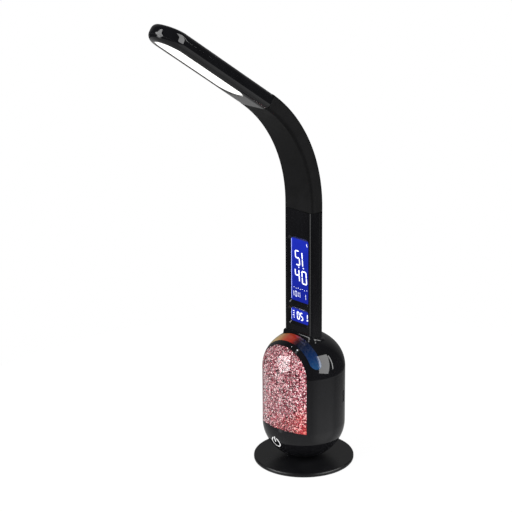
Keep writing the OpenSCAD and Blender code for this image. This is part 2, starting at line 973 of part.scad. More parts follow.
// Two ears at height z over a bar that ends bar_end below them
module ears(z) {
    ear_w = link_w / 2 - ear_in;
    for (x = [-1, 1]) {
        translate([x * (ear_in + ear_w / 2), 0, z]) difference() {
            union() {
                along_x(knuckle_d, ear_w);
                translate([-ear_w / 2, -link_t / 2, -bar_end]) cube([ear_w, link_t, bar_end]);
            }
            along_x(pin_d + hinge_gap, BIG / 8);
        }
    }
}

// The middle knuckle at the origin, under a bar that starts bar_end above it
module eye() {
    difference() {
        union() {
            along_x(knuckle_d, eye_w);
            translate([-eye_w / 2, -link_t / 2, 0]) cube([eye_w, link_t, bar_end]);
        }
        along_x(pin_d + 2 * hinge_gap, BIG / 8);
    }
}

module neck_link(i) {
    l = norm(hinge(i + 1) - hinge(i));
    color("#9a9da1") at_hinge(i) {
        eye();
        translate([-link_w / 2, -link_t / 2, bar_end]) cube([link_w, link_t, l - 2 * bar_end]);
        ears(l);
    }
}

module neck_pin(i) {
    color("silver") at_hinge(i) along_x(pin_d, link_w - 0.4);
}

module neck_root() {
    in_t = col_back_in - col_front_in - 2 * seat;
    low = hinge(1)[2] - bar_end - col_top;
    color("#8a8d91") {
        translate([0, (col_front_in + col_back_in) / 2, col_top - root_block_h]) {
            linear_extrude(root_block_h) round_rect(root_block_w, in_t, col_r - col_wall);
        }
        translate([-link_w / 2, -link_t / 2, col_top - EPS]) cube([link_w, link_t, low + EPS]);
        translate(hinge(1)) ears(0);
    }
}

module sleeve_section() {
    difference() {
        round_rect(col_w, col_t, col_r);
        round_rect(col_w - 2 * sleeve_wall, col_t - 2 * sleeve_wall, col_r - sleeve_wall);
    }
}

module neck_sleeve() {
    color("#1d1d1f") {
        translate([0, 0, col_top + fit]) linear_extrude(neck_straight - fit) sleeve_section();
        translate([0, -neck_r, col_top + neck_straight]) rotate([90, 0, 90]) {
            rotate_extrude(angle = neck_angle - fit / neck_r * 180 / PI, $fn = 360) {
                translate([neck_r, 0]) rotate(90) sleeve_section();
            }
        }
    }
}

// ---------- head ----------

module in_head() {
    translate(head_pos) rotate([neck_angle, 0, 0]) children();
}

module neck_tip() {
    block_z = -3;
    color("#9a9da1") {
        at_hinge(HINGES) {
            eye();
            translate([-tip_block_w / 2, -link_t / 2, bar_end]) {
                cube([tip_block_w, link_t, hinge_inset - bar_end]);
            }
        }
        in_head() translate([-tip_block_w / 2, -tip_block_t / 2, block_z]) {
            cube([tip_block_w, tip_block_t, tip_block_l - block_z]);
        }
    }
}

// Everything under the head's top, which falls in an arc towards the tip. The arc starts a
// little above the top, so that it crosses the head's rounded edges and never runs along them.
module below_top(inset) {
    arc_z = head_l - head_drop_l;
    translate([-BIG / 2, -BIG / 2, arc_z - BIG]) cube(BIG);
    intersection() {
        translate([0, head_t / 2 + head_drop_lift - head_drop_r, arc_z]) rotate([0, 90, 0]) {
            cylinder(r = head_drop_r - inset, h = BIG, center = true, $fn = 720);
        }
        translate([-BIG / 2, -BIG / 2, arc_z - EPS]) cube(BIG);
    }
}

// The head's outer form drawn in by inset, lying along +Z from z0
module head_solid(inset, z0) {
    w = head_w - 2 * inset;
    t = head_t - 2 * inset;
    r = head_r - inset;
    intersection() {
        union() {
            translate([0, 0, z0]) linear_extrude(head_tip_c - z0) round_rect(w, t, r);
            translate([0, 0, head_tip_c]) rotate([90, 0, 0]) rotate_extrude(angle = 180, $fn = 180) {
                intersection() {
                    round_rect(w, t, r);
                    translate([0, -t]) square([w, 2 * t]);
                }
            }
        }
        below_top(inset);
    }
}

// Stadium outline of the light panel grown by g, as a plate from y and t thick
module stadium(g, y, t) {
    r = panel_w / 2 + g;
    z0 = panel_start + panel_w / 2;
    z1 = head_l - panel_tip - panel_w / 2;
    translate([0, y + t, 0]) rotate([90, 0, 0]) linear_extrude(t) {
        translate([0, z0]) circle(r = r);
        translate([0, z1]) circle(r = r);
        translate([-r, z0]) square([2 * r, z1 - z0]);
    }
}

module head_shell() {
    difference() {
        head_solid(0, seat);
        head_solid(head_wall, seat + 2);
        translate([0, 0, seat - 1]) linear_extrude(4) {
            square([tip_block_w + 2 * fit, tip_block_t + 2 * fit], center = true);
        }
    }
}

module below_seam() {
    translate([-BIG / 2, -BIG, -BIG / 2]) cube([BIG, BIG - head_t / 2 + bezel_h, BIG]);
}

module at_head_posts() {
    for (x = [-head_post_x, head_post_x], z = head_post_z) {
        translate([x, 0, z]) rotate([-90, 0, 0]) children();
    }
}

module head_housing() {
    color("#0e0e10") in_head() difference() {
        union() {
            difference() {
                head_shell();
                below_seam();
            }
            at_head_posts() translate([0, 0, led_board_y + led_board_t]) {
                cylinder(d = head_post_d, h = head_in - led_board_y - led_board_t + EPS, $fn = 32);
            }
        }
        at_head_posts() translate([0, 0, led_board_y]) {
            cylinder(d = pilot(head_shank_d), h = head_in - led_board_y, $fn = 32);
        }
    }
}

module head_bezel() {
    color("#0e0e10") in_head() difference() {
        intersection() {
            head_shell();
            below_seam();
        }
        stadium(0, -head_t, 2 * head_t);
        stadium(panel_lip + pocket_gap, -head_in, head_t);
    }
}

module light_panel() {
    color("#fbfbf6") in_head() stadium(panel_lip, panel_y, panel_t);
}

module light_tray() {
    color("white") in_head() difference() {
        stadium(0, panel_back + touch, light_depth - 2 * touch);
        stadium(-light_tray_wall, panel_back, light_depth + 1);
    }
}

module head_board() {
    color("#f2f2ee") in_head() difference() {
        stadium(-led_board_inset, led_board_y, led_board_t);
        at_head_posts() translate([0, 0, led_board_y - 1]) {
            cylinder(d = through(head_shank_d), h = led_board_t + 2, $fn = 32);
        }
    }
}

// Rows of lights along the head; only the middle row reaches the panel's round ends
module head_lights() {
    z0 = panel_start + led_margin;
    pitch = (panel_len - 2 * led_margin) / (led_cols - 1);
    color("#fff2c0") in_head() for (row = [-1, 0, 1], c = [0:led_cols - 1]) {
        x = row * led_row_pitch - head_led_w / 2;
        inner = c > 0 && c < led_cols - 1;
        if (inner || row == 0) {
            translate([x, led_board_y - head_led_t, z0 + c * pitch - head_led_l / 2]) {
                cube([head_led_w, head_led_t, head_led_l]);
            }
        }
    }
}

module head_screws() {
    color("silver") in_head() at_head_posts() translate([0, 0, led_board_y]) {
        screw(head_shank_d, led_board_t + head_bite, tiny_head_d, tiny_head_h);
    }
}

foot_pad();
foot_disc();
base_screws();
ballast();
body_shell();
dome_cover();
glitter_window();
glitter_sheet();
light_box();
rgb_board();
rgb_lights();
main_board();
board_parts();
board_screws();
power_inlet();
usb_port();
touch_strip();
touch_foil();
power_symbol();
column_plate();
mount_screws();
column_collar();
column_front();
column_back();
column_screws();
main_display();
lower_display();
display_backlight();
clock_board();
clock_switches();
clock_cell();
mode_button();
up_button();
down_button();
neck_root();
neck_sleeve();
neck_link(1);  // neck_link_1
neck_link(2);  // neck_link_2
neck_link(3);  // neck_link_3
neck_link(4);  // neck_link_4
neck_link(5);  // neck_link_5
neck_pin(1);  // neck_pin_1
neck_pin(2);  // neck_pin_2
neck_pin(3);  // neck_pin_3
neck_pin(4);  // neck_pin_4
neck_pin(5);  // neck_pin_5
neck_pin(6);  // neck_pin_6
neck_tip();
head_housing();
head_bezel();
light_panel();
light_tray();
head_board();
head_lights();
head_screws();
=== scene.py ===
"""Desk lamp with a glitter window, a clock column and a flexible neck.

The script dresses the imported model. Every node of the model gets a finish, the neck gets a smooth
rubber sleeve, the displays get their digits, the shells get their seams and small fittings, and the
studio holds the floor, the lamps and the camera. Lengths are in metres, in the frame of the model.
"""

import logging
import math
from dataclasses import dataclass
from enum import Enum
from typing import Callable, Sequence

import bmesh
import bpy
from mathutils import Matrix, Quaternion, Vector


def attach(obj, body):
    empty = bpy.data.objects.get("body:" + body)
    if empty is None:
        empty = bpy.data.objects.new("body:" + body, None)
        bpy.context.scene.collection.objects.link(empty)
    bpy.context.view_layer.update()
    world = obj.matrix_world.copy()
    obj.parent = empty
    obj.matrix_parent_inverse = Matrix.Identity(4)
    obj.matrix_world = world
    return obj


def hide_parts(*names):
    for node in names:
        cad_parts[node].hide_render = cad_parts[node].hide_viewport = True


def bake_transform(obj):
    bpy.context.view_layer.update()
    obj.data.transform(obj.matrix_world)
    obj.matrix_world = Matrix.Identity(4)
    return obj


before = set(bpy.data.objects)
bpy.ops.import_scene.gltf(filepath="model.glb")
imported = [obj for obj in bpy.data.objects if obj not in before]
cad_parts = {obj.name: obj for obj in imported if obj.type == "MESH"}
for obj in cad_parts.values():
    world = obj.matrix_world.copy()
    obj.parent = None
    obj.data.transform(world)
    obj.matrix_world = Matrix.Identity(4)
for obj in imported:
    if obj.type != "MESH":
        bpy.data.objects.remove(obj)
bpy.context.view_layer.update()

MM = 0.001
LOG = logging.getLogger("lamp")
ROUND_STEPS = 24
SEAM_PROUD = 0.015 * MM
SEAM_DEPTH = 0.1 * MM

Colour = tuple[float, float, float]
Point = tuple[float, float, float]
Spot = tuple[float, float]
Socket = bpy.types.NodeSocket
Feed = Socket | float | Sequence[float]


# ---------- node trees ----------


class NodeTree:
    """A node tree under construction, with short calls for what feeds its nodes."""

    def __init__(self, owner: bpy.types.Material | bpy.types.World) -> None:
        """Take over the tree of a material or a world.

        Args:
            owner: The material or the world.
        """
        owner.use_nodes = True
        self.nodes = owner.node_tree.nodes
        self.links = owner.node_tree.links

    def feed(self, target: Socket, value: Feed) -> None:
        """Set a socket, or link another node's output to it.

        Args:
            target: Socket that receives the value.
            value: Number, colour or output of another node.
        """
        if isinstance(value, bpy.types.NodeSocket):
            self.links.new(value, target)
        elif target.type == "RGBA":
            target.default_value = (*value, 1.0)
        else:
            target.default_value = value

    def feed_all(self, node: bpy.types.Node, values: dict[int, Feed]) -> None:
        """Feed several sockets of a node, given by their numbers."""
        for index, value in values.items():
            self.feed(node.inputs[index], value)

    def add(self, kind: str, **inputs: Feed) -> bpy.types.Node:
        """Add a node.

        Args:
            kind: Type of the node, without the common prefix.
            inputs: Values for its sockets, named as the sockets are.

        Returns:
            The new node.
        """
        node = self.nodes.new("ShaderNode" + kind)
        for name, value in inputs.items():
            self.feed(node.inputs[name], value)
        return node

    def calc(self, operation: str, first: Feed, second: Feed = 0.0) -> Socket:
        """Join two values by a mathematical operation.

        Args:
            operation: Name of the operation.
            first: First value.
            second: Second value, where the operation has one.

        Returns:
            The result.
        """
        node = self.add("Math")
        node.operation = operation
        self.feed_all(node, {0: first, 1: second})
        return node.outputs[0]

    def span(
        self, driver: Socket, low: float, high: float, start: float = 0.0, end: float = 1.0
    ) -> Socket:
        """Stretch a value from one span to another.

        Args:
            driver: The value.
            low: Result at the start.
            high: Result at the end.
            start: Value at which the span starts.
            end: Value at which the span ends.

        Returns:
            The new value, kept within the span.
        """
        node = self.add("MapRange", Value=driver)
        self.feed_all(node, {1: start, 2: end, 3: low, 4: high})
        return node.outputs[0]

    def blend(self, share: Feed, first: Feed, second: Feed) -> Socket:
        """Mix two values.

        Args:
            share: 0 gives the first and 1 the second.
            first: First value.
            second: Second value.

        Returns:
            The mixed value.
        """
        node = self.add("Mix")
        self.feed_all(node, {0: share, 2: first, 3: second})
        return node.outputs[0]

    def mix(self, share: Feed, first: Feed, second: Feed) -> Socket:
        """Mix two colours.

        Args:
            share: 0 gives the first and 1 the second.
            first: First colour.
            second: Second colour.

        Returns:
            The mixed colour.
        """
        node = self.add("Mix")
        node.data_type = "RGBA"
        self.feed_all(node, {0: share, 6: first, 7: second})
        return node.outputs[2]

    def mix_shaders(
        self, share: Socket, first: bpy.types.Node, second: bpy.types.Node
    ) -> bpy.types.Node:
        """Mix two shaders.

        Args:
            share: 0 gives the first and 1 the second.
            first: Node of the first shader.
            second: Node of the second shader.

        Returns:
            The node that mixes them.
        """
        node = self.add("MixShader")
        self.feed_all(node, {0: share, 1: first.outputs[0], 2: second.outputs[0]})
        return node


class Shader(NodeTree):
    """A material under construction, with one surface node and patterns that lie on the object."""

    def __init__(self, name: str) -> None:
        """Start a material.

        Args:
            name: Name of the material.
        """
        self.material = bpy.data.materials.new(name)
        super().__init__(self.material)
        self.surface = self.nodes["Principled BSDF"]
        self.place = self.add("TexCoord").outputs["Object"]
        self.normal: Socket | None = None

    def put(self, socket: str, value: Feed) -> None:
        """Feed one socket of the surface."""
        self.feed(self.surface.inputs[socket], value)

    def lit(self, tone: Socket, glow: float) -> None:
        """Give the surface a colour that also glows.

        Args:
            tone: The colour.
            glow: Strength of the glow.
        """
        self.put("Base Color", tone)
        self.put("Emission Color", tone)
        self.put("Emission Strength", glow)

    def scaled(self, size: float, stretch: Point = (1, 1, 1)) -> Socket:
        """Give the place on the object counted in steps of a size, stretched along the axes."""
        scale = tuple(factor / size for factor in stretch)
        return self.add("Mapping", Vector=self.place, Scale=scale).outputs[0]

    def noise(self, size: float, detail: float = 2.0, stretch: Point = (1, 1, 1)) -> Socket:
        """Make a soft random pattern around 0.5, with blotches of a size and finer layers."""
        node = self.add("TexNoise", Vector=self.scaled(size, stretch), Scale=1.0, Detail=detail)
        return node.outputs["Fac"]

    def cells(self, size: float, output: str = "Color") -> Socket:
        """Fill space with random cells; give their colour, or the distance from their middles."""
        node = self.add("TexVoronoi", Vector=self.scaled(size), Scale=1.0)
        return node.outputs[output]

    def axis(self, letter: str) -> Socket:
        """Give one coordinate of the place on the object."""
        return self.add("SeparateXYZ", Vector=self.place).outputs[letter]

    def part(self, colour: Socket, channel: str = "Red") -> Socket:
        """Give one channel of a colour."""
        return self.add("SeparateColor", Color=colour).outputs[channel]

    def ramp(self, driver: Socket, stops: Sequence[tuple[float, Colour]]) -> Socket:
        """Turn a value into a colour.

        Args:
            driver: The value, from 0 to 1.
            stops: Places and colours, in rising order.

        Returns:
            The colour.
        """
        node = self.add("ValToRGB", Fac=driver)
        elements = node.color_ramp.elements
        elements[0].position, elements[0].color = stops[0][0], (*stops[0][1], 1.0)
        elements[1].position, elements[1].color = stops[-1][0], (*stops[-1][1], 1.0)
        for place, colour in stops[1:-1]:
            elements.new(place).color = (*colour, 1.0)
        return node.outputs["Color"]

    def shades(self, driver: Socket, colour: Colour, *stops: Spot) -> Socket:
        """Turn a value into shades of one colour, each stop being a place and its factor."""
        return self.ramp(driver, [(place, tinted(colour, factor)) for place, factor in stops])

    def roughen(
        self, driver: Socket, middle: float, low: float, high: float,
        start: float = 0.3, end: float = 0.7,
    ) -> None:
        """Let the roughness follow a pattern.

        Args:
            driver: The pattern.
            middle: Roughness of the finish.
            low: Factor on it where the pattern is at the start of its span.
            high: Factor on it where the pattern is at the end.
            start: Value at which the span starts.
            end: Value at which the span ends.
        """
        self.put("Roughness", self.span(driver, middle * low, middle * high, start, end))

    def bump(self, height: Socket, depth: float) -> None:
        """Raise the surface by a pattern.

        Args:
            height: The pattern, from 0 to 1.
            depth: Height of the relief.
        """
        node = self.add("Bump", Height=height, Distance=depth)
        if self.normal is not None:
            self.feed(node.inputs["Normal"], self.normal)
        self.normal = node.outputs[0]
        self.put("Normal", self.normal)


def tinted(colour: Colour, factor: float) -> Colour:
    """Make a colour lighter or darker by a factor."""
    return tuple(min(1.0, channel * factor) for channel in colour)


# ---------- finishes ----------


@dataclass(frozen=True)
class Moulding:
    """Moulded plastic, from high gloss to satin, with faint flow marks and handling marks."""

    name: str
    colour: Colour
    roughness: float
    grain: float = 0.4 * MM
    relief: float = 0.002 * MM
    wave: float = 0.0

    def material(self) -> bpy.types.Material:
        """Build the material.

        Returns:
            The new material.
        """
        shader = Shader(self.name)
        flow = shader.noise(25 * MM, 3.0, (1, 1, 0.4))
        shader.put("Base Color", shader.shades(flow, self.colour, (0.3, 0.8), (0.7, 1.2)))
        shader.roughen(shader.noise(9 * MM, 5.0), self.roughness, 0.8, 1.35, 0.35, 0.7)
        shader.put("IOR", 1.5)
        shader.bump(shader.noise(self.grain, 2.0), self.relief)
        if self.wave:
            shader.bump(shader.noise(14 * MM, 1.0), self.wave)
        return shader.material


@dataclass(frozen=True)
class Rubber:
    """Matt rubber with a fine leathery skin."""

    name: str
    colour: Colour
    roughness: float
    shine: float = 0.25

    def material(self) -> bpy.types.Material:
        """Build the material.

        Returns:
            The new material.
        """
        shader = Shader(self.name)
        dust = shader.noise(12 * MM, 5.0)
        shader.put("Base Color", shader.shades(dust, self.colour, (0.35, 0.85), (0.75, 1.5)))
        shader.roughen(dust, self.roughness, 1.0, 1.25)
        shader.put("Specular IOR Level", self.shine)
        shader.bump(shader.cells(0.45 * MM, "Distance"), 0.02 * MM)
        shader.bump(shader.noise(0.15 * MM, 2.0), 0.01 * MM)
        return shader.material


@dataclass(frozen=True)
class Paint:
    """Baked paint on sheet steel, with a soft orange peel."""

    name: str
    colour: Colour
    roughness: float

    def material(self) -> bpy.types.Material:
        """Build the material.

        Returns:
            The new material.
        """
        shader = Shader(self.name)
        haze = shader.noise(20 * MM, 4.0)
        shader.put("Base Color", shader.shades(haze, self.colour, (0.3, 0.8), (0.75, 1.3)))
        shader.roughen(haze, self.roughness, 0.85, 1.2)
        shader.bump(shader.noise(1.1 * MM, 1.0), 0.012 * MM)
        shader.bump(shader.noise(0.2 * MM, 1.0), 0.002 * MM)
        return shader.material


@dataclass(frozen=True)
class Metal:
    """Bare metal with drawing or turning lines along one axis."""

    name: str
    colour: Colour
    roughness: float
    lines: Point = (0.05, 1, 1)
    spots: float = 0.0

    def material(self) -> bpy.types.Material:
        """Build the material.

        Returns:
            The new material.
        """
        shader = Shader(self.name)
        cloud = shader.noise(6 * MM, 4.0)
        shader.put("Base Color", shader.shades(cloud, self.colour, (0.3, 0.8), (0.7, 1.08)))
        shader.put("Metallic", 1.0)
        drawn = shader.noise(0.25 * MM, 3.0, self.lines)
        shader.roughen(drawn, self.roughness, 0.75, 1.3)
        shader.bump(drawn, 0.006 * MM)
        if self.spots:
            shader.bump(shader.cells(1.2 * MM, "Distance"), self.spots)
        return shader.material


@dataclass(frozen=True)
class Board:
    """Circuit board with copper tracks under its lacquer."""

    name: str
    lacquer: Colour
    track: Colour

    def material(self) -> bpy.types.Material:
        """Build the material.

        Returns:
            The new material.
        """
        shader = Shader(self.name)
        grid = shader.add("TexVoronoi", Vector=shader.scaled(3.2 * MM), Scale=1.0)
        grid.distance = "MANHATTAN"
        tracks = shader.span(grid.outputs["Distance"], 0.0, 1.0, 0.42, 0.5)
        shader.put("Base Color", shader.mix(tracks, self.lacquer, self.track))
        shader.put("Roughness", shader.span(shader.noise(5 * MM, 3.0), 0.3, 0.5))
        shader.bump(tracks, 0.03 * MM)
        return shader.material


# Colours of the flakes by their random value, away from the lights and close to them; the value
# paints each flake's sparkle, painted highlights from dark to white
FLAKES_PINK: tuple[tuple[float, Colour], ...] = (
    (0.24, (0.028, 0.005, 0.008)),
    (0.38, (0.13, 0.020, 0.032)),
    (0.51, (0.40, 0.080, 0.11)),
    (0.63, (0.62, 0.17, 0.21)),
    (0.73, (0.90, 0.50, 0.54)),
    (0.84, (1.0, 0.90, 0.89)),
)
FLAKES_RED: tuple[tuple[float, Colour], ...] = (
    (0.20, (0.09, 0.006, 0.008)),
    (0.36, (0.32, 0.024, 0.027)),
    (0.55, (0.54, 0.046, 0.052)),
    (0.74, (0.76, 0.16, 0.15)),
    (0.88, (1.0, 0.56, 0.43)),
)


@dataclass(frozen=True)
class Glitter:
    """Coarse glitter film, lit from behind by coloured lights.

    The flakes' sparkle is painted into their colour and glow, and so is the red light, a painted
    pool of light that is a sum of three parts, each given as its low and high value and the span
    over which
    it changes: up the window, across it, and at random.
    """

    name: str
    flake: float = 1.1 * MM
    fine: float = 0.6
    weights: Spot = (0.68, 0.32)
    glow: float = 0.10
    relief: float = 0.16 * MM
    upward: tuple[float, float, float, float] = (0.62, -0.80, 50 * MM, 109 * MM)
    across: tuple[float, float, float, float] = (-0.70, 0.42, -30 * MM, 34 * MM)
    uneven: tuple[float, float, float, float] = (-0.5, 0.5, 0.25, 0.75)

    def flakes(self, shader: Shader) -> tuple[Socket, Socket]:
        """Scatter the flakes and tint them with painted sparkle and painted light, redder near the
        lights at the foot of the window.

        Args:
            shader: Material that receives the nodes.

        Returns:
            The random value of each flake, and the tint.
        """
        coarse, fine = shader.cells(self.flake), shader.cells(self.flake * self.fine)
        shade = shader.calc(
            "ADD",
            shader.calc("MULTIPLY", shader.part(coarse), self.weights[0]),
            shader.calc("MULTIPLY", shader.part(fine, "Green"), self.weights[1]),
        )
        pink, red = shader.ramp(shade, FLAKES_PINK), shader.ramp(shade, FLAKES_RED)
        # Painted light: the red light of the lamps at the window's foot, painted as a gradient with
        # random patches.
        upward = shader.span(shader.axis("Z"), *self.upward)
        lamp = shader.calc("ADD", upward, shader.span(shader.axis("X"), *self.across))
        lamp = shader.calc("ADD", lamp, shader.span(shader.noise(16 * MM, 2.0), *self.uneven))
        painted_red_light = shader.span(lamp, 0.0, 1.0, 0.1, 1.2)
        return shader.part(coarse, "Blue"), shader.mix(painted_red_light, pink, red)

    def material(self) -> bpy.types.Material:
        """Build the material.

        Returns:
            The new material.
        """
        shader = Shader(self.name)
        lift, tint = self.flakes(shader)
        shader.lit(tint, self.glow)
        shader.put("Roughness", 0.28)
        shader.put("Metallic", 0.15)
        shader.bump(lift, self.relief)
        return shader.material


@dataclass(frozen=True)
class ClearCover:
    """Clear polished plastic with glitter moulded in, denser towards the window's edges."""

    name: str
    glitter: Glitter
    roughness: float = 0.02
    bare_x: float = 22 * MM
    full_x: float = 31 * MM
    shares: Spot = (0.35, 1.02)
    tint: Colour = (1.0, 0.97, 0.975)

    def material(self) -> bpy.types.Material:
        """Build the material.

        Returns:
            The new material.
        """
        shader = Shader(self.name)
        lift, tint = self.glitter.flakes(shader)
        aside = shader.calc("ABSOLUTE", shader.axis("X"))
        share = shader.span(aside, *self.shares, self.bare_x, self.full_x)
        clear = shader.calc("GREATER_THAN", lift, share)
        shader.put("Base Color", shader.mix(clear, tint, self.tint))
        shader.put("Transmission Weight", clear)
        # The covered flakes glow with the glitter's painted sparkle and painted red light.
        shader.put("Emission Color", tint)
        covered = shader.calc("SUBTRACT", 1.0, clear)
        shader.put("Emission Strength", shader.calc("MULTIPLY", covered, self.glitter.glow))
        shader.roughen(shader.noise(11 * MM, 5.0), self.roughness, 0.5, 2.5, 0.35, 0.75)
        shader.put("IOR", 1.49)
        shader.bump(shader.noise(16 * MM, 1.0), 0.01 * MM)
        return shader.material


@dataclass(frozen=True)
class HueStrip:
    """Gloss strip over the dome whose print runs through the colours that a touch picks."""

    name: str
    centre_z: float
    reach: float
    stops: tuple[tuple[float, Colour], ...]
    # The print glows faintly: painted light, as the strip holds no lamp.
    glow: float = 0.08
    mottle: float = 0.02
    fleck: Colour = (0.9, 0.85, 0.8)

    def material(self) -> bpy.types.Material:
        """Build the material; the colour follows the angle round the dome's cross axis.

        Returns:
            The new material.
        """
        shader = Shader(self.name)
        rise = shader.calc("SUBTRACT", shader.axis("Z"), self.centre_z)
        angle = shader.calc("ARCTAN2", shader.axis("X"), rise)
        hue = shader.ramp(shader.span(angle, 0.0, 1.0, -self.reach, self.reach), [
            ((math.radians(degrees) + self.reach) / (2 * self.reach), colour)
            for degrees, colour in self.stops
        ])
        mottle = shader.span(shader.noise(2.5 * MM, 3.0), 0.0, self.mottle, 0.4, 0.8)
        # The print's colour also glows: painted light.
        shader.lit(shader.mix(mottle, hue, self.fleck), self.glow)
        shader.put("Roughness", shader.span(shader.noise(8 * MM, 4.0), 0.06, 0.14, 0.3, 0.7))
        shader.put("Coat Weight", 0.6)
        shader.put("Coat Roughness", 0.05)
        return shader.material


@dataclass(frozen=True)
class LitGlass:
    """Display glass with its light behind it."""

    name: str
    colour: Colour
    low_z: float
    high_z: float
    glow: float = 0.64
    dot: float = 0.35 * MM
    dot_share: float = 0.12

    def material(self) -> bpy.types.Material:
        """Build the material; the light is a little stronger towards the top.

        Returns:
            The new material.
        """
        shader = Shader(self.name)
        fall = shader.span(shader.axis("Z"), 0.0, 1.0, self.low_z, self.high_z)
        cloud = shader.span(shader.noise(18 * MM, 2.0), -0.2, 0.2, 0.3, 0.7)
        light = shader.calc("ADD", fall, cloud)
        light = shader.shades(light, self.colour, (0.0, 0.5), (0.5, 0.72), (1.0, 1.1))
        dots = shader.span(shader.cells(self.dot, "Distance"), 0.0, self.dot_share, 0.3, 0.6)
        shader.put("Base Color", shader.mix(dots, tinted(self.colour, 0.25), (0.0, 0.0, 0.02)))
        shader.put("Emission Color", shader.mix(dots, light, (0.0, 0.0, 0.1)))
        shader.put("Emission Strength", self.glow)
        shader.put("Roughness", 0.08)
        shader.put("Coat Weight", 0.1)
        return shader.material


@dataclass(frozen=True)
class Glow:
    """A lit mark, lamp or diffuser that glows nearly evenly."""

    name: str
    colour: Colour
    glow: float
    roughness: float = 0.4
    dimple: float = 0.0

    def material(self) -> bpy.types.Material:
        """Build the material.

        Returns:
            The new material.
        """
        shader = Shader(self.name)
        cloud = shader.noise(7 * MM, 2.0)
        shader.lit(shader.shades(cloud, self.colour, (0.3, 0.94), (0.7, 1.0)), self.glow)
        shader.roughen(cloud, self.roughness, 0.9, 1.1)
        if self.dimple:
            shader.bump(shader.cells(1.6 * MM, "Distance"), self.dimple)
        return shader.material


class Tone(Enum):
    """The plain colours of the lamp's surfaces."""

    BLACK = (0.006, 0.006, 0.007)
    SOFT_BLACK = (0.012, 0.012, 0.013)
    RUBBER_BLACK = (0.014, 0.014, 0.015)
    SHADOW = (0.002, 0.002, 0.002)
    WHITE = (0.82, 0.82, 0.80)
    STEEL = (0.62, 0.62, 0.64)
    ALLOY = (0.70, 0.71, 0.72)
    IRON = (0.16, 0.16, 0.165)
    COPPER = (0.72, 0.45, 0.22)
    GOLD = (0.83, 0.62, 0.25)
    GREEN_LACQUER = (0.012, 0.11, 0.035)
    GREEN_TRACK = (0.05, 0.24, 0.08)
    PALE_LACQUER = (0.78, 0.78, 0.75)
    PALE_TRACK = (0.66, 0.66, 0.62)
    BLUE = (0.016, 0.034, 0.56)
    PANEL = (1.0, 1.0, 0.97)
    MARK = (0.86, 0.90, 1.0)
    GUIDE = (0.85, 0.9, 1.0)
    EDGE_LIGHT = (0.33, 0.40, 0.95)
    SYMBOL = (0.80, 0.80, 0.80)
    PACKAGE = (1.0, 0.93, 0.72)


# Colours of the touch strip by the angle from the top, in degrees, as the photo shows them
STRIP_COLOURS: tuple[tuple[float, Colour], ...] = (
    # The pale colour at the far left end is partly a painted reflection on the print.
    (-66, (0.58, 0.52, 0.25)),
    (-28, (0.44, 0.28, 0.10)),
    (-16, (0.34, 0.10, 0.028)),
    (-8, (0.34, 0.038, 0.015)),
    (5, (0.29, 0.018, 0.008)),
    (12, (0.05, 0.007, 0.010)),
    (18, (0.005, 0.005, 0.012)),
    (33, (0.003, 0.010, 0.036)),
    (50, (0.003, 0.020, 0.082)),
    (66, (0.009, 0.052, 0.14)),
)


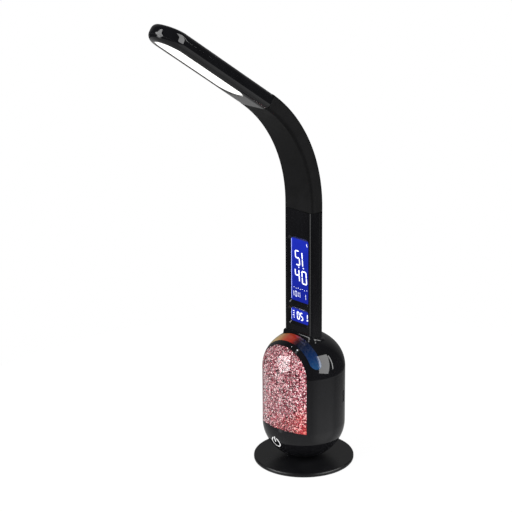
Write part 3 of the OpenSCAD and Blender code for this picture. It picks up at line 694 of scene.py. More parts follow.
class Finishes:
    """All finishes of the lamp, each built once."""

    def __init__(self) -> None:
        """Build the materials."""
        black, soft_black = Tone.BLACK.value, Tone.SOFT_BLACK.value
        rubber, steel, blue = Tone.RUBBER_BLACK.value, Tone.STEEL.value, Tone.BLUE.value
        self.gloss = Moulding(
            "gloss_black", black, 0.045, 0.6 * MM, 0.0004 * MM, 0.006 * MM
        ).material()
        self.column = Moulding(
            "column_black", black, 0.09, 0.5 * MM, 0.0006 * MM, 0.006 * MM
        ).material()
        self.key = Moulding("satin_key", soft_black, 0.35, 0.3 * MM, 0.006 * MM).material()
        self.package = Moulding("moulded_package", soft_black, 0.5, 0.2 * MM, 0.01 * MM).material()
        self.white = Moulding(
            "white_reflector", Tone.WHITE.value, 0.45, 0.4 * MM, 0.006 * MM
        ).material()
        self.disc = Paint("disc_paint", black, 0.3).material()
        self.pad = Rubber("foot_rubber", tinted(rubber, 1.8), 0.7).material()
        self.sleeve = Rubber("sleeve_rubber", tinted(rubber, 0.32), 0.5, 0.12).material()
        self.zinc = Metal("zinc_screw", steel, 0.28).material()
        self.plate = Metal("steel_plate", tinted(steel, 0.85), 0.36).material()
        self.pin = Metal("turned_pin", steel, 0.2, (1, 0.05, 0.05)).material()
        self.alloy = Metal("link_alloy", Tone.ALLOY.value, 0.4, (1, 1, 0.06)).material()
        self.iron = Metal("cast_iron", Tone.IRON.value, 0.6, (1, 1, 1), 0.12 * MM).material()
        self.foil = Metal("touch_foil", Tone.COPPER.value, 0.3).material()
        self.contact = Metal("gold_contact", Tone.GOLD.value, 0.2).material()
        self.green = Board(
            "green_board", Tone.GREEN_LACQUER.value, Tone.GREEN_TRACK.value
        ).material()
        self.pale_board = Board(
            "white_board", Tone.PALE_LACQUER.value, Tone.PALE_TRACK.value
        ).material()
        glitter = Glitter("glitter_film")
        self.clear = ClearCover("clear_cover", glitter).material()
        self.glitter = glitter.material()
        strip = HueStrip("touch_strip_print", 107 * MM, math.radians(70), STRIP_COLOURS)
        self.strip = strip.material()
        self.display = LitGlass("display_blue", blue, 186 * MM, 263 * MM).material()
        self.low_display = LitGlass("lower_display_blue", blue, 151 * MM, 181 * MM).material()
        self.backlight = Glow("light_guide", Tone.GUIDE.value, 0.4).material()
        self.mark = Glow("display_mark", Tone.MARK.value, 0.85).material()
        self.edge_light = Glow("display_edge_light", Tone.EDGE_LIGHT.value, 0.55).material()
        # The white marks glow faintly: painted light, as the power symbol and the buttons' marks
        # hold no lamps.
        self.symbol = Glow("power_symbol_white", Tone.SYMBOL.value, 0.2).material()
        self.panel = Glow("light_panel_milky", Tone.PANEL.value, 0.92, 0.35, 0.03 * MM).material()
        self.lamp = Glow("lamp_package", Tone.PACKAGE.value, 0.35).material()
        self.seam = Moulding("seam_shadow", Tone.SHADOW.value, 0.7).material()

    def dress(self, plan: dict[str, bpy.types.Material]) -> None:
        """Give nodes of the model their finishes.

        Args:
            plan: The finish of each node, by the node's name.
        """
        for name, material in plan.items():
            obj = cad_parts[name]
            if not obj.material_slots:
                obj.data.materials.append(material)
            for place in obj.material_slots:
                place.material = material
            LOG.info("finish %s on node %s", material.name, name)


# ---------- shapes ----------


def new_piece(
    name: str, mesh: bmesh.types.BMesh, material: bpy.types.Material, smooth_angle: float = 35.0
) -> bpy.types.Object:
    """Turn a mesh under construction into a piece of the scene.

    Args:
        name: Name of the piece.
        mesh: The mesh, which is freed.
        material: Its finish.
        smooth_angle: Edges sharper than this many degrees stay sharp.

    Returns:
        The new object.
    """
    bmesh.ops.recalc_face_normals(mesh, faces=mesh.faces)
    for face in mesh.faces:
        face.smooth = True
    for edge in mesh.edges:
        if len(edge.link_faces) == 2 and edge.calc_face_angle() > math.radians(smooth_angle):
            edge.smooth = False
    data = bpy.data.meshes.new(name)
    mesh.to_mesh(data)
    mesh.free()
    data.materials.append(material)
    obj = bpy.data.objects.new(name, data)
    bpy.context.scene.collection.objects.link(obj)
    return obj


def circle(steps: int = ROUND_STEPS) -> list[Spot]:
    """Give the cosine and the sine of each step round a circle."""
    return [(math.cos(math.tau * k / steps), math.sin(math.tau * k / steps)) for k in range(steps)]


def rounded_outline(width: float, thick: float, radius: float, steps: int = 10) -> list[Spot]:
    """Trace a rounded rectangle.

    Args:
        width: Size along the first axis.
        thick: Size along the second axis.
        radius: Radius of its corners.
        steps: Segments in each corner.

    Returns:
        The points, once round.
    """
    points = []
    for quarter, (side, end) in enumerate(((1, 1), (-1, 1), (-1, -1), (1, -1))):
        for step in range(steps + 1):
            angle = math.pi / 2 * (quarter + step / steps)
            points.append((
                side * (width / 2 - radius) + radius * math.cos(angle),
                end * (thick / 2 - radius) + radius * math.sin(angle),
            ))
    return points


def loft(mesh: bmesh.types.BMesh, rings: Sequence[Sequence[Vector]], closed: bool = False) -> None:
    """Skin a row of rings that have the same number of points.

    Args:
        mesh: Mesh that receives the skin.
        rings: The rings, each once round.
        closed: Whether the last ring joins the first.
    """
    rows = [[mesh.verts.new(point) for point in ring] for ring in rings]
    pairs = list(zip(rows, rows[1:])) + ([(rows[-1], rows[0])] if closed else [])
    for low, high in pairs:
        for index in range(len(low)):
            after = (index + 1) % len(low)
            mesh.faces.new((low[index], low[after], high[after], high[index]))


def sheet(mesh: bmesh.types.BMesh, rows: Sequence[Sequence[Vector]]) -> None:
    """Skin a grid of points.

    Args:
        mesh: Mesh that receives the skin.
        rows: The points, row by row.
    """
    placed = [[mesh.verts.new(point) for point in row] for row in rows]
    for low, high in zip(placed, placed[1:]):
        for index in range(len(low) - 1):
            mesh.faces.new((low[index], low[index + 1], high[index + 1], high[index]))


def plate(mesh: bmesh.types.BMesh, outline: Sequence[Vector], depth: Vector) -> None:
    """Add a thin plate.

    Args:
        mesh: Mesh that receives the plate.
        outline: Its outline, once round.
        depth: Step from its one face to the other.
    """
    near = [mesh.verts.new(point) for point in outline]
    far = [mesh.verts.new(point + depth) for point in outline]
    mesh.faces.new(near)
    mesh.faces.new(list(reversed(far)))
    for index in range(len(near)):
        after = (index + 1) % len(near)
        mesh.faces.new((near[index], near[after], far[after], far[index]))


def panel(mesh: bmesh.types.BMesh, low: Spot, high: Spot, y: float, depth: float) -> None:
    """Add a thin upright rectangle that faces along Y.

    Args:
        mesh: Mesh that receives it.
        low: Its lower left corner, across and up.
        high: Its upper right corner.
        y: Place of its first face.
        depth: Step from there to its other face.
    """
    (xa, za), (xb, zb) = low, high
    outline = [Vector((x, y, z)) for x, z in ((xa, za), (xb, za), (xb, zb), (xa, zb))]
    plate(mesh, outline, Vector((0, depth, 0)))


# ---------- foot ----------


@dataclass
class Foot:
    """Painted disc on its rubber pad, with the weight and the screws that hold it to the body."""

    finishes: Finishes

    def build(self) -> None:
        """Dress the foot."""
        look = self.finishes
        look.dress({
            "foot_disc": look.disc, "foot_pad": look.pad,
            "ballast": look.iron, "base_screws": look.zinc,
        })


# ---------- body ----------


@dataclass
class CapsuleForm:
    """Outer form of the body: a straight wall between two domes of tangent arcs."""

    radius: float = 46.6 * MM
    shoulder: float = 38 * MM
    wall_top: float = 112 * MM
    dome_h: float = 41.8 * MM

    @property
    def inner(self) -> float:
        """Distance from the axis to the middle of the shoulder arc."""
        return self.radius - self.shoulder

    @property
    def cap(self) -> float:
        """Radius of the arc over the top, which meets the shoulder arcs smoothly."""
        over = self.inner**2 + self.dome_h**2 - self.shoulder**2
        return over / (2 * (self.dome_h - self.shoulder))

    def radius_at(self, z: float) -> float:
        """Give the outer radius at a height in the dome.

        Args:
            z: Height over the ground.

        Returns:
            The radius there.
        """
        rise = z - self.wall_top
        if rise <= 0:
            return self.radius
        centre = self.dome_h - self.cap
        meet = centre - centre / math.hypot(self.inner, centre) * self.cap
        if rise < meet:
            return self.inner + math.sqrt(max(0.0, self.shoulder**2 - rise**2))
        return math.sqrt(max(0.0, self.cap**2 - (rise - centre) ** 2))

    def height_at(self, reach: float) -> float:
        """Give the height of the dome at a distance from the axis.

        Args:
            reach: Distance from the axis.

        Returns:
            The height over the ground.
        """
        centre = self.dome_h - self.cap
        meet = self.inner / math.hypot(self.inner, centre) * self.cap
        if reach < meet:
            return self.wall_top + centre + math.sqrt(self.cap**2 - reach**2)
        return self.wall_top + math.sqrt(max(0.0, self.shoulder**2 - (reach - self.inner) ** 2))

    def point(self, azimuth: float, z: float) -> Vector:
        """Give a point on the form.

        Args:
            azimuth: Direction in degrees, 0 at the front and 90 at the right.
            z: Height over the ground.

        Returns:
            The point.
        """
        reach, turn = self.radius_at(z), math.radians(azimuth)
        return Vector((reach * math.sin(turn), -reach * math.cos(turn), z))


@dataclass
class Body:
    """Capsule body with its window, its touch strip, its ports and what it holds."""

    finishes: Finishes
    form: CapsuleForm
    seam_z: float = 111 * MM
    seam_w: float = 0.22 * MM
    seam_steps: int = 96
    window_half: float = 50.4
    # The two dots are painted highlights: glowing white dots where the dome reflects small lamps.
    dots: tuple[Point, ...] = ((18.7, 144.3 * MM, 0.6 * MM), (32.8, 142.3 * MM, 1.0 * MM))
    dot_flat: float = 0.35
    inlet_z: float = 29 * MM
    inlet_pin_d: float = 2.1 * MM
    plating: float = 0.03 * MM
    port_azimuth: float = 118.0
    port_z: float = 81 * MM
    contacts: int = 4
    contact_pitch: float = 2.4 * MM
    contact_span: Spot = (34.6 * MM, 43.8 * MM)
    contact_half: float = 0.5 * MM
    contact_y: float = -0.07 * MM
    contact_t: float = 0.04 * MM

    def build(self) -> None:
        """Dress the body and add its small pieces."""
        look = self.finishes
        look.dress({
            "body_shell": look.gloss, "dome_cover": look.gloss, "glitter_window": look.clear,
            "glitter_sheet": look.glitter, "touch_strip": look.strip, "power_symbol": look.symbol,
            "light_box": look.white, "rgb_board": look.pale_board, "rgb_lights": look.lamp,
            "main_board": look.green, "board_parts": look.package, "power_inlet": look.package,
            "board_screws": look.zinc, "usb_port": look.zinc, "touch_foil": look.foil,
        })
        for piece in (self.seam(), self.highlight_dots(), self.inlet_pin(), self.port_contacts()):
            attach(piece, "base")
            LOG.info("piece %s", piece.name)

    def seam(self) -> bpy.types.Object:
        """Make the dark parting line between the shell and the dome, clear of the window.

        Returns:
            The piece.
        """
        mesh = bmesh.new()
        rings = []
        for step in range(self.seam_steps + 1):
            azimuth = self.window_half + (360 - 2 * self.window_half) * step / self.seam_steps
            low = self.form.point(azimuth, self.seam_z - self.seam_w / 2)
            high = self.form.point(azimuth, self.seam_z + self.seam_w / 2)
            out = Vector((low.x, low.y, 0)).normalized()
            proud, sunk = out * SEAM_PROUD, out * SEAM_DEPTH
            rings.append([low + proud, high + proud, high - sunk, low - sunk])
        loft(mesh, rings)
        return new_piece("dome_seam", mesh, self.finishes.seam)

    def highlight_dots(self) -> bpy.types.Object:
        """Make the two tiny white dots in the black band over the window, painted highlights that
        glow.

        Returns:
            The piece.
        """
        mesh = bmesh.new()
        step = 0.2 * MM
        for azimuth, z, width in self.dots:
            middle = self.form.point(azimuth, z)
            rise = self.form.point(azimuth, z + step) - self.form.point(azimuth, z - step)
            across = rise.cross(Vector((0, 0, 1))).normalized()
            normal = across.cross(rise).normalized()
            if normal.dot(middle - Vector((0, 0, self.form.wall_top))) < 0:
                normal.negate()
            basis = Matrix((across, normal.cross(across), normal)).transposed().to_4x4()
            basis.translation = middle
            made = bmesh.ops.create_uvsphere(mesh, u_segments=20, v_segments=10, radius=width / 2)
            bmesh.ops.scale(mesh, vec=(1, 1, self.dot_flat), verts=made["verts"])
            bmesh.ops.transform(mesh, matrix=basis, verts=made["verts"])
        return new_piece("painted_highlight_dots", mesh, self.finishes.mark)

    def inlet_pin(self) -> bpy.types.Object:
        """Make the plated skin of the pin in the power inlet, with its rounded end.

        Returns:
            The piece.
        """
        mesh = bmesh.new()
        radius = self.inlet_pin_d / 2 + self.plating
        profile = ((1.0, 32.0), (1.0, 40.7), (0.9, 41.0), (0.6, 41.25), (0.05, 41.35))
        loft(mesh, [
            [
                Vector((radius * share * cos, y * MM, self.inlet_z + radius * share * sin))
                for cos, sin in circle()
            ]
            for share, y in profile
        ])
        return new_piece("inlet_pin_plating", mesh, self.finishes.contact)

    def port_contacts(self) -> bpy.types.Object:
        """Make the contacts on the tongue of the charging port.

        Returns:
            The piece.
        """
        mesh = bmesh.new()
        turn = Matrix.Rotation(math.radians(self.port_azimuth - 90), 4, "Z")
        (inner, outer), half = self.contact_span, self.contact_half
        for row in range(self.contacts):
            z = self.port_z + (row - (self.contacts - 1) / 2) * self.contact_pitch
            corners = ((inner, z - half), (outer, z - half), (outer, z + half), (inner, z + half))
            outline = [turn @ Vector((reach, self.contact_y, height)) for reach, height in corners]
            plate(mesh, outline, turn.to_3x3() @ Vector((0, self.contact_t, 0)))
        return new_piece("port_contacts", mesh, self.finishes.contact)


# ---------- column ----------


class Glyph(Enum):
    """Which of the seven bars each numeral lights.

    The bars are the top (a), the right pair (b, c), the bottom (d), the left pair (e, f) and the
    middle (g).
    """

    N0 = "abcdef"
    N1 = "bc"
    N4 = "fgbc"
    N5 = "afgcd"


# The numerals, in millimetres: place across, height, width, tallness and thickness of the bars
BIG_BAR, SMALL_BAR, LOW_BAR = 1.4, 0.42, 1.1
NUMERALS: tuple[tuple[Glyph, float, float, float, float, float], ...] = (
    (Glyph.N5, -7.9, 231.0, 7.2, 17.2, BIG_BAR),
    (Glyph.N1, 1.8, 230.4, 2.2, 17.4, BIG_BAR),
    (Glyph.N4, -7.9, 212.2, 7.2, 14.8, BIG_BAR),
    (Glyph.N0, 2.6, 210.8, 7.8, 15.4, BIG_BAR),
    (Glyph.N1, -12.4, 194.2, 3.0, 6.2, SMALL_BAR),
    (Glyph.N0, -7.8, 194.2, 3.2, 6.2, SMALL_BAR),
    (Glyph.N1, -5.2, 194.2, 3.0, 6.2, SMALL_BAR),
    (Glyph.N1, -2.6, 194.2, 3.0, 6.2, SMALL_BAR),
    (Glyph.N1, 6.4, 193.6, 3.0, 6.2, SMALL_BAR),
    (Glyph.N0, -4.8, 167.9, 4.2, 9.2, LOW_BAR),
    (Glyph.N5, 0.6, 167.7, 4.2, 9.2, LOW_BAR),
)
# The small marks, in millimetres: middle across, its height, width and tallness
COLON = ((-1.3, 229.2, 1.3, 1.3), (5.7, 229.2, 1.3, 1.3))
DAYS = tuple((-8.8 + 3.3 * k, 204.6 - (0.7 if k % 2 else 0.0), 1.3, 0.5) for k in range(7))
CORNER_MARK = ((10.8, 257.2, 0.9, 1.8), (11.6, 255.6, 1.5, 0.7))
LOW_LEFT = (
    (-9.6, 176.4, 2.4, 0.8), (-9.2, 173.9, 1.6, 0.8),
    (-9.6, 171.4, 2.4, 0.8), (-8.8, 169.0, 1.4, 0.8),
)
LOW_RIGHT = ((12.1, 174.4, 1.0, 4.6), (12.1, 170.2, 1.6, 1.7))
MARKS = COLON + DAYS + CORNER_MARK + LOW_LEFT + LOW_RIGHT


@dataclass
class Numeral:
    """A numeral of seven bars on a display."""

    glyph: Glyph
    left: float
    bottom: float
    width: float
    height: float
    bar: float
    lean: float = 0.09
    gap: float = 0.08

    def bars(self) -> list[tuple[Spot, Spot]]:
        """Give the ends of each lit bar.

        Returns:
            Pairs of points, across and up.
        """
        half = self.bar / 2
        x0, x1 = self.left + half, self.left + self.width - half
        z0, z2 = self.bottom + half, self.bottom + self.height - half
        z1 = (z0 + z2) / 2
        ends = {
            "a": ((x0, z2), (x1, z2)), "b": ((x1, z1), (x1, z2)), "c": ((x1, z0), (x1, z1)),
            "d": ((x0, z0), (x1, z0)), "e": ((x0, z0), (x0, z1)), "f": ((x0, z1), (x0, z2)),
            "g": ((x0, z1), (x1, z1)),
        }
        return [ends[letter] for letter in self.glyph.value]

    def add_to(self, mesh: bmesh.types.BMesh, y: float, depth: float) -> None:
        """Add the numeral's bars to a mesh.

        Args:
            mesh: The mesh.
            y: Place of the front of the bars.
            depth: Their thickness.
        """
        half, gap = self.bar / 2, self.bar * self.gap
        top = self.bottom + self.height
        for (xa, za), (xb, zb) in self.bars():
            start = Vector((xa + self.lean * (top - za), y, za))
            end = Vector((xb + self.lean * (top - zb), y, zb))
            along = (end - start).normalized()
            side = Vector((-along.z, 0, along.x)) * half
            start, end = start + along * gap, end - along * gap
            outline = [
                start, start + along * half - side, end - along * half - side,
                end, end - along * half + side, start + along * half + side,
            ]
            plate(mesh, outline, Vector((0, depth, 0)))


@dataclass
class Column:
    """Flat column with the two displays, the clock board and the set buttons."""

    finishes: Finishes
    form: CapsuleForm
    face_y: float = -6.29 * MM
    ink: float = 0.03 * MM
    field_half: float = 13.2 * MM
    fields: tuple[Spot, ...] = ((189.4 * MM, 261.2 * MM), (164.8 * MM, 179.6 * MM))
    stray_w: float = 0.75 * MM
    stray_gap: float = 1.2 * MM
    width: float = 44.4 * MM
    thick: float = 17.6 * MM
    corner: float = 4 * MM
    seam_y: float = 2 * MM
    seam_half: float = 0.12 * MM
    seam_proud: float = 0.012 * MM
    bottom: float = 158.6 * MM
    top: float = 294.7 * MM
    screw_x: float = 17.0 * MM
    screw_z: Spot = (159.6 * MM, 272.2 * MM)
    screw_sink: float = 0.1 * MM
    slot: Spot = (1.1 * MM, 0.28 * MM)
    slot_proud: float = 0.02 * MM
    slot_depth: float = 0.2 * MM
    button_z: tuple[float, ...] = (215 * MM, 229 * MM, 243 * MM)
    button_rise: float = 0.8 * MM
    mark_sink: float = 0.05 * MM
    mark_t: float = 0.12 * MM
    collar_h: float = 4.2 * MM
    collar_lead: float = 10 * MM
    collar_span: Spot = (144.8 * MM, 159.0 * MM)
    collar_reach: Spot = (3.6 * MM, 0.8 * MM)
    collar_edge: Spot = (2.5 * MM, 3.6 * MM)
    collar_offset: float = 1 * MM
    collar_steps: int = 10
    collar_corner_steps: int = 12
    collar_overlap: float = 0.1 * MM
    collar_sink: float = 0.25 * MM

    def build(self) -> None:
        """Dress the column and add what its displays show."""
        look = self.finishes
        look.dress({
            "column_front": look.column, "column_back": look.column, "column_plate": look.plate,
            "neck_root": look.plate, "clock_cell": look.plate, "mount_screws": look.zinc,
            "column_screws": look.zinc, "main_display": look.display,
            "lower_display": look.low_display, "display_backlight": look.backlight,
            "clock_board": look.green, "clock_switches": look.package, "mode_button": look.key,
            "up_button": look.key, "down_button": look.key,
        })
        collar = self.collar()
        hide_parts("column_collar")
        extras = (self.numerals(), self.edge_lights(), self.seams(), self.screw_slots())
        for piece in (collar, *extras):
            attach(piece, "base")
            LOG.info("piece %s", piece.name)
        for piece, body in self.button_marks():
            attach(piece, body)
            LOG.info("piece %s", piece.name)

    def collar_section(self, face: Vector, out: Vector) -> list[Vector]:
        """Trace the collar's section at one place of the column's outline.

        Args:
            face: Place on the column's face, at height 0.
            out: Level direction away from the column.

        Returns:
            The points of the section, once round.
        """
        low_z, high_z = self.collar_span
        low_g, high_g = self.collar_reach
        across, down = self.collar_edge

        def at(reach: float, height: float) -> Vector:
            """Place a point of the section by its distance from the column's face."""
            spot = face + out * reach
            return Vector((spot.x, spot.y, height))

        def crest(reach: float) -> float:
            """Give the height of the collar's top at a distance from the column's face."""
            spot = face + out * reach
            return self.collar_h + self.form.height_at(
                math.hypot(spot.x, spot.y + self.collar_lead)
            )

        def side(height: float) -> float:
            """Give the distance of the collar's sloping side from the column's face."""
            return low_g + (high_g - low_g) * (height - low_z) / (high_z - low_z)

        reach = side(crest(high_g) - down)
        top = crest(reach - across)
        section = [at(-self.collar_overlap, crest(0.0))]
        for step in range(self.collar_steps + 1):
            turn = math.pi / 2 * step / self.collar_steps
            section.append(at(
                reach - across + across * math.sin(turn), top - down + down * math.cos(turn)
            ))
        spot = face + out * 2 * MM
        foot = self.form.height_at(math.hypot(spot.x, spot.y)) - self.collar_sink
        low = min(foot, top - down - self.collar_overlap)
        return section + [
            at((reach + side(low)) / 2, (low + top - down) / 2),
            at(side(low), low),
            at(-self.collar_overlap, low),
        ]

    def collar(self) -> bpy.types.Object:
        """Make the collar round the column's foot, whose top repeats the dome, with a soft edge.

        Returns:
            The piece.
        """
        mesh = bmesh.new()
        steps = self.collar_corner_steps
        off = self.collar_offset
        wide, deep = self.width + 2 * off, self.thick + 2 * off
        outer = rounded_outline(wide, deep, self.corner + off, steps)
        inner = rounded_outline(self.width, self.thick, self.corner, steps)
        loft(mesh, [
            self.collar_section(Vector((x, y, 0)), Vector((px - x, py - y, 0)).normalized())
            for (x, y), (px, py) in zip(inner, outer)
        ], closed=True)
        return new_piece("collar", mesh, self.finishes.gloss, 60.0)

    def numerals(self) -> bpy.types.Object:
        """Make the lit numerals and marks of both displays.

        Returns:
            The piece.
        """
        mesh = bmesh.new()
        for glyph, *sizes in NUMERALS:
            Numeral(glyph, *(size * MM for size in sizes)).add_to(mesh, self.face_y, self.ink)
        for x, z, width, height in MARKS:
            low = (x * MM - width * MM / 2, z * MM - height * MM / 2)
            high = (x * MM + width * MM / 2, z * MM + height * MM / 2)
            panel(mesh, low, high, self.face_y, self.ink)
        return new_piece("display_numerals", mesh, self.finishes.mark)

    def edge_lights(self) -> bpy.types.Object:
        """Make the pale line of stray light down the left side of each display.

        Returns:
            The piece.
        """
        mesh = bmesh.new()
        left = -self.field_half
        for low, high in self.fields:
            foot, head = (left, low + self.stray_gap), (left + self.stray_w, high - self.stray_gap)
            panel(mesh, foot, head, self.face_y, self.ink)
        return new_piece("display_edge_lights", mesh, self.finishes.edge_light)

    def seams(self) -> bpy.types.Object:
        """Make the two upright parting lines between the column's halves.

        Returns:
            The piece.
        """
        mesh = bmesh.new()
        near, far = self.seam_y - self.seam_half, self.seam_y + self.seam_half
        corners = ((near, self.bottom), (far, self.bottom), (far, self.top), (near, self.top))
        for side in (-1, 1):
            x = side * (self.width / 2 + self.seam_proud)
            outline = [Vector((x, y, z)) for y, z in corners]
            plate(mesh, outline, Vector((-side * SEAM_DEPTH, 0, 0)))
        return new_piece("column_seams", mesh, self.finishes.seam)

    def screw_slots(self) -> bpy.types.Object:
        """Make the crossed slots in the heads of the screws in the column's back, as dark plates of
        painted shade.

        Returns:
            The piece.
        """
        mesh = bmesh.new()
        y = self.thick / 2 - self.screw_sink + self.slot_proud
        for x in (-self.screw_x, self.screw_x):
            for z in self.screw_z:
                for wide, tall in (self.slot, self.slot[::-1]):
                    low, high = (x - wide, z - tall), (x + wide, z + tall)
                    panel(mesh, low, high, y, -self.slot_depth)
        return new_piece("screw_slots", mesh, self.finishes.seam)

    def button_marks(self) -> list[tuple[bpy.types.Object, str]]:
        """Make a raised mark on each set button.

        Returns:
            The pieces, each with the body that it rides on.
        """
        y = self.thick / 2 + self.button_rise - self.mark_sink
        bar, post, square = (1.4, 0.3), (0.3, 1.4), (0.9, 0.9)
        shapes = {"down_button": [bar], "up_button": [bar, post], "mode_button": [square]}
        made = []
        for (body, boxes), z in zip(shapes.items(), self.button_z):
            mesh = bmesh.new()
            for wide, tall in boxes:
                low, high = (-wide * MM, z - tall * MM), (wide * MM, z + tall * MM)
                panel(mesh, low, high, y, self.mark_t)
            # Each mark takes the white finish with its painted glow.
            made.append((new_piece(f"{body}_mark", mesh, self.finishes.symbol), body))
        return made


# ---------- neck ----------


@dataclass
class Neck:
    """Flexible neck: hinged links in one sleeve, shown as six pieces along its curve, one over each
    hinge.
    """

    finishes: Finishes
    width: float = 44.4 * MM
    thick: float = 17.6 * MM
    corner: float = 4 * MM
    corner_ease: float = 0.9
    wall: float = 2.5 * MM
    bottom: float = 295 * MM
    straight: float = 5 * MM
    bend_r: float = 154 * MM
    bend: float = math.radians(56)
    inset: float = 12.3 * MM
    hinges: int = 6
    gap: float = 0.2 * MM
    ring_step: float = 1.3 * MM
    fewest_rings: int = 4
    lip: float = 0.35 * MM
    lip_ease: float = 0.35

    @property
    def length(self) -> float:
        """Length of the neck's middle line."""
        return self.straight + self.bend_r * self.bend

    @property
    def step(self) -> float:
        """Distance from one hinge to the next, along the middle line."""
        return (self.length - 2 * self.inset) / (self.hinges - 1)

    def angle(self, s: float) -> float:
        """Give the lean of the middle line at a distance along it."""
        return max(0.0, s - self.straight) / self.bend_r

    def spine(self, s: float) -> Vector:
        """Give the point of the middle line at a distance along it.

        Args:
            s: Distance from the top of the column.

        Returns:
            The point.
        """
        if s < self.straight:
            return Vector((0, 0, self.bottom + s))
        lean = self.angle(s)
        y = -self.bend_r * (1 - math.cos(lean))
        return Vector((0, y, self.bottom + self.straight + self.bend_r * math.sin(lean)))

    def ring(self, s: float, inset: float) -> list[Vector]:
        """Place the sleeve's outline round the middle line.

        Args:
            s: Distance along the middle line.
            inset: How far the outline is drawn in.

        Returns:
            The points, once round.
        """
        lean, centre = self.angle(s), self.spine(s)
        across = Vector((0, math.cos(lean), math.sin(lean)))
        corner = self.corner - inset * self.corner_ease
        outline = rounded_outline(self.width - 2 * inset, self.thick - 2 * inset, corner)
        return [centre + Vector((u, 0, 0)) + across * v for u, v in outline]

    def build(self) -> None:
        """Dress the links and lay the sleeve over them."""
        links = [f"neck_link_{k}" for k in range(1, self.hinges)]
        pins = [f"neck_pin_{k}" for k in range(1, self.hinges + 1)]
        self.finishes.dress(dict.fromkeys(["neck_tip", *links], self.finishes.alloy))
        self.finishes.dress(dict.fromkeys(pins, self.finishes.pin))
        for index in range(self.hinges):
            start, end = (self.inset + (index + half) * self.step for half in (-0.5, 0.5))
            if index == 0:
                start = self.gap
            if index == self.hinges - 1:
                end = self.length - self.gap
            piece = self.sleeve_piece(index, start, end)
            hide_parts("neck_sleeve")
            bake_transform(piece)

    def sleeve_piece(self, index: int, start: float, end: float) -> bpy.types.Object:
        """Make one length of the sleeve, with its wall.

        Args:
            index: Number of the hinge it covers, from 0.
            start: Distance along the middle line at which it starts.
            end: Distance at which it ends.

        Returns:
            The piece.
        """
        mesh = bmesh.new()
        count = max(self.fewest_rings, round((end - start) / self.ring_step))
        rings = [self.ring(start + (end - start) * k / count, 0.0) for k in range(count + 1)]
        eased = self.lip * self.lip_ease
        if index == 0:
            rings[0] = self.ring(start + self.lip, 0.0)
            rings.insert(0, self.ring(start + eased, eased))
            rings.insert(0, self.ring(start, self.lip))
        if index == self.hinges - 1:
            rings[-1] = self.ring(end - self.lip, 0.0)
            rings.append(self.ring(end - eased, eased))
            rings.append(self.ring(end, self.lip))
        rings += [self.ring(s, self.wall) for s in (end, (start + end) / 2, start)]
        loft(mesh, rings, closed=True)
        return new_piece(f"sleeve_{index + 1}", mesh, self.finishes.sleeve)


# ---------- head ----------


